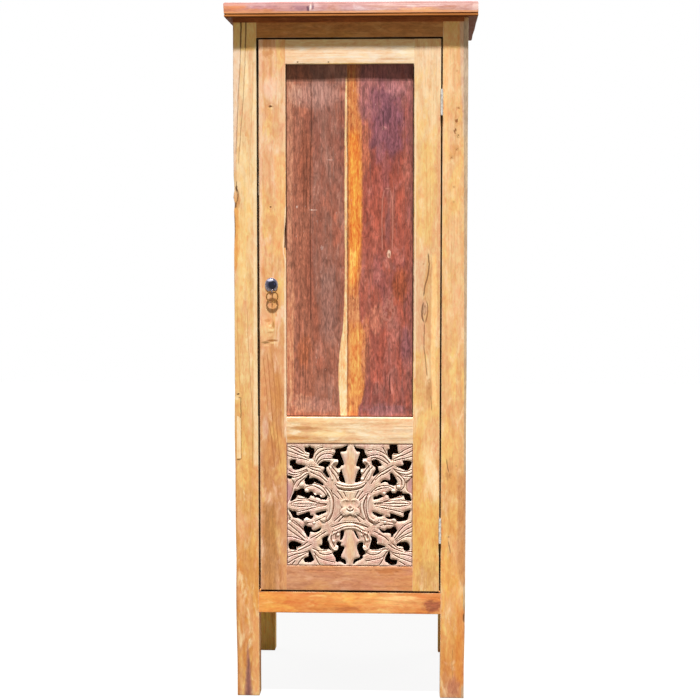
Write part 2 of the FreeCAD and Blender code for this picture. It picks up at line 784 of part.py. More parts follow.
strike_blank = box(
    "strike_blank",
    ("strike_front", "strike_front + strike_width"),
    ("door_back", "door_back + strike_thickness"),
    ("catch_height - strike_height / 2", "catch_height + strike_height / 2"),
)
keep(cut("strike_plate", strike_blank, [strike_hole]))


# Butt hinges: five knuckles shared by two leaves, turning on a capped pin

knuckle_length = f"(hinge_height - {knuckle_count - 1} * knuckle_gap) / {knuckle_count}"
for hinge in ("upper", "lower"):
    low = f"{hinge}_hinge_height - hinge_height / 2"
    leaf_z = (low, f"{low} + hinge_height")
    axis = ("hinge_x", "hinge_y")
    bore_start = (*axis, f"{low} - overrun")
    bore_radius = "hinge_pin_radius + hinge_pin_clearance"
    starts = [f"{low} + {index} * ({knuckle_length} + knuckle_gap)" for index in range(knuckle_count)]
    plates = {
        "post": ("hinge_x + leaf_gap / 2", "hinge_x + leaf_gap / 2 + leaf_thickness"),
        "door": ("hinge_x - leaf_gap / 2 - leaf_thickness", "hinge_x - leaf_gap / 2"),
    }
    for leaf, own, other in (("post", starts[0::2], starts[1::2]), ("door", starts[1::2], starts[0::2])):
        label = f"{hinge}_hinge_{leaf}_leaf"
        plate = box(f"{label}_plate", plates[leaf], ("hinge_y", "hinge_y + leaf_depth"), leaf_z)
        window_y = ("hinge_y - overrun", "front + swing_clearance")
        windows = []
        for start in other:
            window_z = eased((start, f"{start} + {knuckle_length}"), "knuckle_gap")
            windows.append(box(f"{label}_window", plates[leaf], window_y, window_z))
        barrels = []
        for start in own:
            barrels.append(rod(f"{label}_knuckle", "knuckle_radius", knuckle_length, (*axis, start), "+z"))
        bore = rod(f"{label}_bore", bore_radius, "hinge_height + 2 * overrun", bore_start, "+z")
        body = fuse(f"{label}_body", [cut(f"{label}_comb", plate, windows)] + barrels)
        keep(cut(label, body, [bore] + leaf_holes[hinge, leaf]))
    pin = rod(f"{hinge}_pin_shaft", "hinge_pin_radius", "hinge_height", (*axis, low), "+z")
    foot_place = (*axis, f"{low} - pin_cap_height")
    foot = rod(f"{hinge}_pin_foot", "pin_cap_radius", "pin_cap_height", foot_place, "+z")
    head = rod(f"{hinge}_pin_head", "pin_cap_radius", "pin_cap_height", (*axis, leaf_z[1]), "+z")
    keep(fuse(f"{hinge}_hinge_pin", [pin, foot, head]))

group("carcase_screws", carcase_screws)
group("door_screws", door_screws)


# Door frame: two stiles and three rails, grooved on one line for the panels

door_groove_span = ("panel_front", "panel_back")
door_rails = {
    "top": (("upper_high", "door_high"), ("groove_depth", "tenon_shoulder")),
    "middle": (("carving_high", "upper_low"), ("groove_depth", "groove_depth")),
    "bottom": (("door_low", "carving_low"), ("tenon_shoulder", "groove_depth")),
}
stud_place = ("pull_x", "rose_face", "pull_height")
stile_groove_z = eased(("door_low + tenon_shoulder", "door_high - tenon_shoulder"))
stile_spans = {
    "left": (
        ("door_left", "left_stile_inner"),
        ("left_stile_inner - groove_depth", "left_stile_inner + overrun"),
        ("left_stile_inner - door_tenon_length - tenon_end_gap", "left_stile_inner + overrun"),
    ),
    "right": (
        ("right_stile_inner", "door_right"),
        ("right_stile_inner - overrun", "right_stile_inner + groove_depth"),
        ("right_stile_inner - overrun", "right_stile_inner + door_tenon_length + tenon_end_gap"),
    ),
}
stud_hole = "stud_radius + stud_clearance"
bore_length = "rose_thickness + door_thickness + overrun"
stud_bore = rod("stud_bore", stud_hole, bore_length, stud_place, "+y")
stile_holes = {"left": [stud_bore, strike_hole], "right": stile_hinge_holes}
for side, (board_x, groove_x, mortise_x) in stile_spans.items():
    label = f"door_{side}_stile"
    board = box(f"{label}_board", board_x, ("front", "door_back"), ("door_low", "door_high"))
    cuts = [box(f"{label}_groove", groove_x, eased(door_groove_span), stile_groove_z)]
    for rail, spans in door_rails.items():
        mortise_z = eased(tenon_span(*spans))
        cuts.append(box(f"{label}_{rail}_mortise", mortise_x, eased(door_groove_span), mortise_z))
    keep(cut(label, board, cuts + stile_holes[side]))

rail_x = ("left_stile_inner", "right_stile_inner")
door_tenon_x = ("left_stile_inner - door_tenon_length", "right_stile_inner + door_tenon_length")
for rail, (z_span, shoulders) in door_rails.items():
    label = f"door_{rail}_rail"
    low, high = z_span
    section = [("front", low), ("door_back", low), ("door_back", high), ("front", high)]
    if rail == "middle":
        section = section[:3] + [("front + ledge_wear", high), ("front", f"{high} - ledge_wear")]
    board = profile(f"{label}_board", "YZ_Plane", section, *rail_x)
    tenon = box(f"{label}_tenon", door_tenon_x, door_groove_span, tenon_span(z_span, shoulders))
    groove_y = eased(door_groove_span)
    grooves = [box(f"{label}_groove", rail_x, groove_y, span) for span in edge_grooves(z_span, shoulders)]
    keep(cut(label, fuse(f"{label}_body", [board, tenon]), grooves))

upper_z = ("upper_low - panel_edge", "upper_high + panel_edge")
left_board_x = ("left_stile_inner - panel_edge", "panel_seam")
right_board_x = ("panel_seam", "right_stile_inner + panel_edge")
keep(box("door_left_panel_board", left_board_x, door_groove_span, upper_z))
keep(box("door_right_panel_board", right_board_x, door_groove_span, upper_z))


# Carved panel: a grooved-in plate with a thicker field, pierced in four mirrored quarters

def carving_point(across, up):
    place_x = f"carving_middle_x + {across} * carving_half_width"
    return (place_x, f"carving_middle_z + {up} * carving_half_height")


def rectangle(x_span, z_span):
    return [(x_span[0], z_span[0]), (x_span[1], z_span[0]), (x_span[1], z_span[1]), (x_span[0], z_span[1])]


carving = doc.addObject("PartDesign::Body", "carving_plate")
tongue_corners = rectangle(
    ("left_stile_inner - panel_edge", "right_stile_inner + panel_edge"),
    ("carving_low - panel_edge", "carving_high + panel_edge"),
)
tongue = carving.newObject("PartDesign::Pad", "carving_tongue")
tongue.Profile = sketch_on(carving, "tongue_outline", "XZ_Plane", "0 - panel_back", [tongue_corners])
tongue.setExpression("Length", bound("panel_thickness"))
field_corners = rectangle(
    ("left_stile_inner + carving_margin", "right_stile_inner - carving_margin"),
    ("carving_low + carving_margin", "carving_high - carving_margin"),
)
field = carving.newObject("PartDesign::Pad", "carving_field")
field.Profile = sketch_on(carving, "field_outline", "XZ_Plane", "0 - panel_front", [field_corners])
field.setExpression("Length", bound("panel_front - carving_field"))
doc.recompute()

# the quarter is drawn about the middle of the carving, so that its mirrors share the sketch's axes
fret = carving.newObject("Sketcher::SketchObject", "fret_outline")
fret.AttachmentSupport = [(origin_plane(carving, "XZ_Plane"), "")]
fret.MapMode = "FlatFace"
fret.setExpression("AttachmentOffset.Base.x", bound("carving_middle_x"))
fret.setExpression("AttachmentOffset.Base.y", bound("carving_middle_z"))
for opening_shares in fret_shares.values():
    outline(fret, [(f"{u} * carving_half_width", f"{v} * carving_half_height") for u, v in opening_shares])
piercing = carving.newObject("PartDesign::Pocket", "fret_piercing")
piercing.Profile = fret
piercing.Type = "ThroughAll"
piercing.Midplane = True
doc.recompute()
quarters = carving.newObject("PartDesign::MultiTransform", "fret_quarters")
quarters.Originals = [piercing]
mirrors = []
for axis in ("V_Axis", "H_Axis"):
    mirror = carving.newObject("PartDesign::Mirrored", f"fret_mirror_{axis}")
    mirror.MirrorPlane = (fret, [axis])
    mirrors.append(mirror)
quarters.Transformations = mirrors
carving.Tip = quarters

# raised work: a spear leaf and a curling arc on each side, and a rosette of four petals in the middle
raised = []
directions = {"up": (0, 1), "right": (1, 0), "down": (0, -1), "left": (-1, 0)}
for heading, (east, north) in directions.items():
    half = [(0, spear_tip_share)] + spear_shares
    whole = half + [(-across, out) for across, out in reversed(spear_shares)]
    corners = []
    for across, out in whole:
        corners.append(carving_point(out * east + across * north, out * north - across * east))
    leaf = profile(f"spear_{heading}", "XZ_Plane", corners, "carving_field - relief_height", "carving_field")
    doc.getObject(f"spear_{heading}_pad").TaperAngle = spear_taper
    raised.append(leaf)

    # two beads side by side; each sweep starts half the spread before the inward direction
    arc_x, arc_z = carving_point(arc_centre_share * east, arc_centre_share * north)
    inward = math.degrees(math.atan2(-north, -east))
    for step in (0, 1):
        arc_radius = f"{arc_radius_share} * carving_half_height - {step} * arc_bead_pitch"
        arc_place = (arc_x, "carving_field", arc_z)
        bead = torus(f"arc_{heading}_{step}", arc_radius, "arc_bead_radius", arc_place, "-y")
        bead.Angle3 = arc_spread
        turn = axis_turns["-y"] * Rotation(Vector(0, 0, 1), inward - arc_spread / 2)
        bead.Placement = Placement(bead.Placement.Base, turn)
        raised.append(bead)

    petal_place = (
        f"carving_middle_x + {east - north} * petal_offset",
        "carving_field",
        f"carving_middle_z + {north + east} * petal_offset",
    )
    raised.append(cap(f"petal_{heading}", "petal_radius", "relief_height", petal_place))

button_place = ("carving_middle_x", "carving_field", "carving_middle_z")
raised.append(cap("rosette_button", "button_radius", "relief_height", button_place))
keep(fuse("carved_panel", [carving] + raised))


# Ring pull: a rose with a dome and an eye, studded through the stile, and the ring that hangs in the eye

lower_end = ("pull_x", "front", "pull_height - rose_drop")
eye_place = ("pull_x - eye_width / 2", "ring_pivot_y", "ring_pivot_z")
stud_length = "rose_thickness + door_thickness + washer_thickness + nut_height"
rose_parts = [
    rod("rose_upper_end", "rose_radius", "rose_thickness", ("pull_x", "front", "pull_height"), "-y"),
    rod("rose_lower_end", "rose_radius", "rose_thickness", lower_end, "-y"),
    box("rose_middle", ("pull_x - rose_radius", "pull_x + rose_radius"), ("rose_face", "front"),
        ("pull_height - rose_drop", "pull_height")),
    cap("rose_dome", "dome_radius", "dome_height", stud_place),
    rod("rose_eye", "eye_radius", "eye_width", eye_place, "+x"),
    rod("rose_stud", "stud_radius", stud_length, stud_place, "+y"),
]
bore_place = ("pull_x - eye_width / 2 - overrun", "ring_pivot_y", "ring_pivot_z")
eye_bore = rod("eye_bore", "eye_bore_radius", "eye_width + 2 * overrun", bore_place, "+x")
keep(cut("pull_rose", fuse("rose_body", rose_parts), [eye_bore]))

washer_place = ("pull_x", "door_back", "pull_height")
washer_bore = rod("washer_bore", stud_hole, "washer_thickness", washer_place, "+y")
washer_disc = rod("washer_disc", "washer_radius", "washer_thickness", washer_place, "+y")
keep(cut("pull_washer", washer_disc, [washer_bore]))

nut_place = ("pull_x", "door_back + washer_thickness", "pull_height")
nut_prism = doc.addObject("Part::Prism", "nut_prism")
nut_prism.Polygon = 6
nut_prism.setExpression("Circumradius", bound("nut_radius"))
nut_prism.setExpression("Height", bound("nut_height"))
put(nut_prism, nut_place, "+y")
nut_bore = rod("nut_bore", stud_hole, "nut_height", nut_place, "+y")
keep(cut("pull_nut", nut_prism, [nut_bore]))

ring_place = ("pull_x", "ring_pivot_y", "ring_pivot_z - ring_radius")
keep(torus("pull_ring", "ring_radius", "ring_wire_radius", ring_place, "+y"))


doc.recompute()
for item in doc.Objects:
    if "Invalid" in item.State or "Error" in item.State:
        raise RuntimeError(f"{item.Label} failed: {item.State}")
for label, item in nodes.items():
    if item.Shape.isNull() or not item.Shape.isValid() or not item.Shape.Solids:
        raise RuntimeError(f"{label} has no sound solid")

os.makedirs("parts", exist_ok=True)
for label, item in nodes.items():
    item.Shape.exportStep(f"parts/{label}.step")
    print(f"{label}: {len(item.Shape.Solids)} solid, {item.Shape.Volume:.1f} mm3")
print(f"{len(nodes)} nodes")
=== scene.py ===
import math

import bmesh
import bpy
import numpy as np
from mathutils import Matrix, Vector


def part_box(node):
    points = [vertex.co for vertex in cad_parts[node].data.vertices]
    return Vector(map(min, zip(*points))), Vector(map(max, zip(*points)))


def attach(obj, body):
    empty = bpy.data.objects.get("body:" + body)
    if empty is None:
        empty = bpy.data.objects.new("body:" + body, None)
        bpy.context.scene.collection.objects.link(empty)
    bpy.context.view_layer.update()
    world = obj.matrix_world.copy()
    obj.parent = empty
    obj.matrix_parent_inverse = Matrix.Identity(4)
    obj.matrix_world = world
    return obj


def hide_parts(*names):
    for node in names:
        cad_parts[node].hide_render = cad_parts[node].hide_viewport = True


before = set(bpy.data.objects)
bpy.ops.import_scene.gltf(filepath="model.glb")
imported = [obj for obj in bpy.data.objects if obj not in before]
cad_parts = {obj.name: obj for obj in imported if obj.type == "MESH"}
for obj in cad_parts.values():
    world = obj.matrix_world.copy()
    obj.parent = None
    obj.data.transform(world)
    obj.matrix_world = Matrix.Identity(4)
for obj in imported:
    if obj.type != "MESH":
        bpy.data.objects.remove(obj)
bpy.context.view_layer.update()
print("frame loaded:", len(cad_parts), "nodes")

mm = 0.001
doorFace = -238 * mm    # the front of the posts and the door
touching = 0.01 * mm
fullTurn = 2 * math.pi

# the camera stands where the photo was taken, found by fitting the case's edges
photoView = {
    "place": (0.1777, -4.2322, 1.2280),
    "down": 4.463,    # degrees
    "turn": 2.556,    # degrees to the left
    "lens": 79.86,
    "sensor": 36.0,
    "frame": 700,
}


def addCamera(p):
    bpy.ops.object.camera_add(
        location=p["place"],
        rotation=(math.radians(90 - p["down"]), 0, math.radians(p["turn"])))
    camera = bpy.context.object
    camera.name = "photoCamera"
    camera.data.sensor_width = p["sensor"]
    camera.data.lens = p["lens"]
    bpy.context.scene.camera = camera


def onFace(u, v, faceY):
    # where the line of sight through a photo pixel meets the plane y = faceY
    p = photoView
    down, turn = math.radians(p["down"]), math.radians(p["turn"])
    focal = p["lens"] / p["sensor"] * p["frame"]
    right = Vector((math.cos(turn), math.sin(turn), 0))
    ahead = Vector((-math.sin(turn) * math.cos(down), math.cos(turn) * math.cos(down), -math.sin(down)))
    half = p["frame"] / 2
    ray = ahead + right * ((u - half) / focal) + right.cross(ahead) * ((half - v) / focal)
    eye = Vector(p["place"])
    return eye + ray * ((faceY - eye.y) / ray.y)


def tint(colour):
    # a picture colour, 0 to 255, as the linear one that a node takes
    return tuple(((c / 255 + 0.055) / 1.055) ** 2.4 if c > 10 else c / 255 / 12.92 for c in colour) + (1.0,)


# small words for nodes
def addNode(tree, kind, feeds=None, **settings):
    node = tree.nodes.new(kind)
    for key, value in settings.items():
        setattr(node, key, value)
    for key, value in (feeds or {}).items():
        feed(tree, node.inputs[key], value)
    return node


def feed(tree, socket, value):
    if isinstance(value, bpy.types.NodeSocket):
        tree.links.new(value, socket)
    else:
        socket.default_value = value


def calc(tree, operation, first, second=0.5, third=0.5):
    return addNode(tree, "ShaderNodeMath", {0: first, 1: second, 2: third}, operation=operation).outputs[0]


def times(tree, first, second):
    return calc(tree, "MULTIPLY", first, second)


def less(tree, first, second):
    return calc(tree, "SUBTRACT", first, second)


def timesPlus(tree, first, second, third):
    return calc(tree, "MULTIPLY_ADD", first, second, third)


def vectorCalc(tree, operation, first, second=(0, 0, 0), give="Vector"):
    return addNode(tree, "ShaderNodeVectorMath", {0: first, 1: second}, operation=operation).outputs[give]


def stretch(tree, vector, scale):
    return vectorCalc(tree, "MULTIPLY", vector, scale)


def parted(tree, vector):
    return addNode(tree, "ShaderNodeSeparateXYZ", {0: vector}).outputs


def joined(tree, *parts):
    return addNode(tree, "ShaderNodeCombineXYZ", dict(enumerate(parts))).outputs[0]


def noise(tree, vector, detail=2.0, roughness=0.5, distortion=0.0):
    feeds = {"Vector": vector, "Scale": 1.0, "Detail": detail, "Roughness": roughness, "Distortion": distortion}
    return addNode(tree, "ShaderNodeTexNoise", feeds).outputs["Fac"]


def remap(tree, value, low, high, toLow=0.0, toHigh=1.0, smooth=True):
    kind = "SMOOTHSTEP" if smooth else "LINEAR"
    feeds = {0: value, 1: low, 2: high, 3: toLow, 4: toHigh}
    return addNode(tree, "ShaderNodeMapRange", feeds, interpolation_type=kind).outputs[0]


def mixColour(tree, share, first, second, blend="MIX"):
    node = addNode(tree, "ShaderNodeMix", data_type="RGBA", blend_type=blend)
    for index, value in ((0, share), (6, first), (7, second)):
        feed(tree, node.inputs[index], value)
    return node.outputs[2]


def startGroup(name, inputs):
    tree = bpy.data.node_groups.new(name, "ShaderNodeTree")
    for label, value in inputs.items():
        kind = "NodeSocketFloat" if isinstance(value, float) else "NodeSocketVector"
        socket = tree.interface.new_socket(label, in_out="INPUT", socket_type=kind)
        if value is not None:
            socket.default_value = value
    return tree, tree.nodes.new("NodeGroupInput").outputs


def endGroup(tree, results):
    for label in results:
        tree.interface.new_socket(label, in_out="OUTPUT", socket_type="NodeSocketFloat")
    out = tree.nodes.new("NodeGroupOutput")
    for label, value in results.items():
        feed(tree, out.inputs[label], value)
    return tree


def useGroup(tree, group, feeds):
    return addNode(tree, "ShaderNodeGroup", feeds, node_tree=group).outputs


grainNoise = {
    # stretch along and across the grain, detail, roughness, distortion
    "Patches": (3.2, 22, 3.0, 0.55, 0.4),
    "Blush": (8.5, 27, 4.0, 0.55, 0.5),
    "Blotches": (13, 34, 5.0, 0.62, 0.6),
    "Mottle": (42, 105, 4.0, 0.6, 0.8),
    "Streaks": (9, 260, 3.0, 0.6, 0.2),
    "Fibres": (70, 400, 2.0, 0.7),
    "Checks": (4.5, 150, 3.0, 0.55, 0.3),
    "Flecks": (62, 330, 3.0, 0.55),
    "Bend": (2.2, 9, 2.0, 0.5),
}
growth = {
    "lineCount": 55.0, "pith": (0.03, 0.11), "lineDip": -0.3, "checkDip": -1.2, "seedStep": (3.1, 0.37, 0.23),
}


def makeBoardGrain():
    # the grain runs along X: wide patches, blotches, streaks, short fibres, drying checks and growth lines
    tree, given = startGroup("boardGrain", {"Vector": None, "Seed": 0.0, "Wave": 2.0})
    offset = joined(tree, *(times(tree, given["Seed"], step) for step in growth["seedStep"]))
    moved = vectorCalc(tree, "ADD", given["Vector"], offset)
    found = {label: noise(tree, stretch(tree, moved, (along, across, across)), *rest)
             for label, (along, across, *rest) in grainNoise.items()}
    for label, low, high in (("Checks", 0.63, 0.72), ("Flecks", 0.68, 0.78)):
        found[label] = remap(tree, found[label], low, high)
    parts = parted(tree, given["Vector"])
    fromPith = joined(tree, 0.0, *(calc(tree, "ADD", parts[axis], growth["pith"][axis - 1]) for axis in (1, 2)))
    reach = vectorCalc(tree, "LENGTH", fromPith, give="Value")
    turns = timesPlus(tree, reach, growth["lineCount"], times(tree, found.pop("Bend"), given["Wave"]))
    swing = calc(tree, "SINE", times(tree, turns, fullTurn))
    found["Lines"] = calc(tree, "POWER", timesPlus(tree, swing, 0.5, 0.5), 2.0)
    lowered = timesPlus(tree, found["Lines"], growth["lineDip"], found["Fibres"])
    found["Height"] = timesPlus(tree, found["Checks"], growth["checkDip"], lowered)
    return endGroup(tree, found)


def makeRaggedEllipse():
    # a soft, ragged ellipse on the front of a board, leaning with the grain: stains, painted highlights and
    # painted shade
    tree, given = startGroup("raggedEllipse", {
        "Vector": None, "Centre X": 0.0, "Centre Z": 0.0, "Half Width": 0.01, "Half Height": 0.01,
        "Soft": 0.5, "Ragged": 0.3, "Lean": 0.0})
    parts = parted(tree, given["Vector"])
    along = less(tree, parts[2], given["Centre Z"])
    across = timesPlus(tree, along, given["Lean"], less(tree, parts[0], given["Centre X"]))
    flat = joined(tree, calc(tree, "DIVIDE", across, given["Half Width"]),
                  calc(tree, "DIVIDE", along, given["Half Height"]))
    drift = stretch(tree, given["Vector"], (7, 7, 7))
    cloud = vectorCalc(tree, "ADD", stretch(tree, flat, (2.2, 2.2, 1)), drift)
    ragged = less(tree, noise(tree, cloud, 4.0, 0.6), 0.5)
    reach = timesPlus(tree, ragged, given["Ragged"], vectorCalc(tree, "LENGTH", flat, give="Value"))
    mask = remap(tree, reach, 1.0, less(tree, 1.0, given["Soft"]))
    return endGroup(tree, {"Mask": mask, "Depth": reach})


def makeWanderingBand():
    # what lies between two edges that wander up the board: sapwood, a crack, a stained streak, a band of
    # painted shadow, a line of painted highlight
    tree, given = startGroup("wanderingBand", {
        "Vector": None, "Left": 0.0, "Right": 0.0, "Low Z": 0.0, "High Z": 1.0,
        "Soft": 0.002, "Ragged": 0.002, "Fade": 0.01})
    parts = parted(tree, given["Vector"])
    sway = less(tree, noise(tree, stretch(tree, given["Vector"], (90, 90, 60)), 3.0, 0.6), 0.5)
    across = timesPlus(tree, sway, given["Ragged"], parts[0])
    back = times(tree, given["Soft"], -1.0)
    mask = remap(tree, less(tree, across, given["Left"]), back, given["Soft"])
    mask = times(tree, mask, remap(tree, less(tree, given["Right"], across), back, given["Soft"]))
    for reach in (less(tree, parts[2], given["Low Z"]), less(tree, given["High Z"], parts[2])):
        mask = times(tree, mask, remap(tree, reach, 0.0, given["Fade"]))
    return endGroup(tree, {"Mask": mask})


def makeKnotRings():
    # growth rings drawn round a knot
    tree, given = startGroup("knotRings", {"Depth": 0.0, "Count": 3.0})
    swing = calc(tree, "SINE", times(tree, times(tree, given["Depth"], given["Count"]), fullTurn))
    rings = times(tree, timesPlus(tree, swing, 0.5, 0.5), remap(tree, given["Depth"], 1.0, 0.35))
    return endGroup(tree, {"Core": remap(tree, given["Depth"], 0.3, 0.15), "Rings": rings})


def makeEdgeWear():
    # rubbed arrises: the mesh says where the edge is, noise breaks it up
    tree, given = startGroup("edgeWear", {"Vector": None, "Edge": 0.0, "Amount": 0.6})
    broken = noise(tree, stretch(tree, given["Vector"], (38, 38, 38)), 4.0, 0.65)
    worn = times(tree, given["Edge"], remap(tree, broken, 0.35, 0.62))
    return endGroup(tree, {"Mask": times(tree, worn, given["Amount"])})


def makeBoxDarkening():
    # darkening inside a box of space: painted shade in gaps and recesses, and dirty seams
    tree, given = startGroup("boxDarkening", {"Vector": None, "Low": (0, 0, 0), "High": (1, 1, 1), "Soft": 0.002})
    below = vectorCalc(tree, "SUBTRACT", given["Low"], given["Vector"])
    above = vectorCalc(tree, "SUBTRACT", given["Vector"], given["High"])
    parts = parted(tree, vectorCalc(tree, "MAXIMUM", below, above))
    most = calc(tree, "MAXIMUM", parts[0], calc(tree, "MAXIMUM", parts[1], parts[2]))
    return endGroup(tree, {"Mask": remap(tree, most, given["Soft"], 0.0)})


boardGrain, raggedEllipse, wanderingBand = makeBoardGrain(), makeRaggedEllipse(), makeWanderingBand()
knotRings, edgeWear, boxDarkening = makeKnotRings(), makeEdgeWear(), makeBoxDarkening()
grainTurn = {"x": (0, 0, 0), "y": (0, 0, math.radians(-90)), "z": (0, math.radians(90), 0)}


# marks on the wood: places and widths in the photo's pixels, boxes of painted shade and dirty seams in mm
def spot(u, v, wide, tall, colour, share=0.8, ragged=0.5, soft=0.6, lean=0.0, **knot):
    return dict(at=(u, v), half=(wide, tall), tint=colour, share=share, ragged=ragged, soft=soft, lean=lean,
                **knot)


def band(left, right, colour, share=0.8, soft=1.0, ragged=2.0, fade=8.0, wide=0.0):
    # an edge that is a plain number stands upright beside the other one
    sides = [left, right]
    for index, side in enumerate(sides):
        if not isinstance(side, list):
            sides[index] = [(side, v) for u, v in sides[1 - index]]
    return dict(sides=sides, tint=colour, share=share, soft=soft, ragged=ragged, fade=fade, wide=wide)


# lines along the board: cracks and grain lines, and also lines of painted highlight and painted shade
def lineMark(line, colour, wide=0.5, share=0.8, soft=0.4, ragged=1.2, fade=4.0, dip=-2.5):
    return dict(band(line, line, colour, share, soft, ragged, fade, wide), dip=dip)


def darkBox(low, high, colour=(48, 30, 18), share=0.9, blend="MIX"):
    return dict(low=low, high=high, tint=colour, share=share, blend=blend)


def spotMask(tree, place, mark, faceY, give="Mask"):
    u, v = mark["at"]
    centre = onFace(u, v, faceY)
    corner = onFace(u + mark["half"][0], v - mark["half"][1], faceY)
    return useGroup(tree, raggedEllipse, {
        "Vector": place, "Centre X": centre.x, "Centre Z": centre.z,
        "Half Width": corner.x - centre.x, "Half Height": corner.z - centre.z,
        "Soft": mark["soft"], "Ragged": mark["ragged"], "Lean": mark["lean"]})[give]


def edgeCurve(tree, height, points, span, shift):
    # a curve node that gives the place across the board for each height
    low, high = span
    margin, end = 5 * mm, 0.001
    places = sorted(((point.z - low) / (high - low), point.x + shift) for point in points)
    if places[0][0] > end:
        places.insert(0, (0.0, places[0][1]))
    if places[-1][0] < 1 - end:
        places.append((1.0, places[-1][1]))
    least = min(x for share, x in places) - margin
    width = max(x for share, x in places) + margin - least
    node = addNode(tree, "ShaderNodeFloatCurve", {"Value": height})
    curve = node.mapping.curves[0].points
    while len(curve) < len(places):
        curve.new(0.5, 0.5)
    for knot, (share, x) in zip(curve, places):
        knot.location = (share, (x - least) / width)
        knot.handle_type = "AUTO_CLAMPED"
    node.mapping.extend = "HORIZONTAL"
    node.mapping.update()
    return timesPlus(tree, node.outputs[0], width, least)


def bandMask(tree, place, mark, faceY):
    pixel = onFace(1, 0, faceY).x - onFace(0, 0, faceY).x
    half = mark["wide"] * pixel / 2
    sides = [[onFace(u, v, faceY) for u, v in side] for side in mark["sides"]]
    heights = [point.z for side in sides for point in side]
    span = low, high = min(heights), max(heights)
    share = remap(tree, parted(tree, place)[2], low, high, smooth=False)
    return useGroup(tree, wanderingBand, {
        "Vector": place, "Low Z": low, "High Z": high,
        "Left": edgeCurve(tree, share, sides[0], span, -half),
        "Right": edgeCurve(tree, share, sides[1], span, half),
        "Soft": mark["soft"] * pixel, "Ragged": mark["ragged"] * pixel, "Fade": mark["fade"] * pixel})["Mask"]


def startMaterial(name):
    material = bpy.data.materials.new(name)
    material.use_nodes = True
    material.node_tree.nodes.clear()
    return material, material.node_tree


def endMaterial(tree, shader):
    tree.links.new(shader.outputs[0], addNode(tree, "ShaderNodeOutputMaterial").inputs["Surface"])


boardLayers = (
    # what the grain gives, where it begins and is full, its share and its colour
    ("Patches", 0.45, 0.72, "deepShare", "deep"), ("Patches", 0.48, 0.28, "paleShare", "pale"),
    ("Lines", 0.0, 1.0, "lines", "lineTint"), ("Streaks", 0.44, 0.72, "streaks", "lineTint"),
    ("Fibres", 0.45, 0.75, "fibres", "lineTint"), ("Checks", 0.0, 1.0, "checks", "lineTint"),
    ("Streaks", 0.47, 0.28, "silver", "silverTint"),
    ("Blush", 0.50, 0.66, "blush", "blushTint"), ("Blush", 0.48, 0.34, "sunny", "sunnyTint"),
    ("Blotches", 0.50, 0.68, "blotches", "blotchTint"), ("Blotches", 0.48, 0.32, "glows", "glowTint"),
)
woodSkin = {"wornTint": (250, 232, 205), "patchShift": 0.16, "darkBoxSoft": 1.2 * mm, "bumpDeep": 0.6 * mm,
            "rough": (0.58, 0.76), "overlay": (0.12, 0.88)}


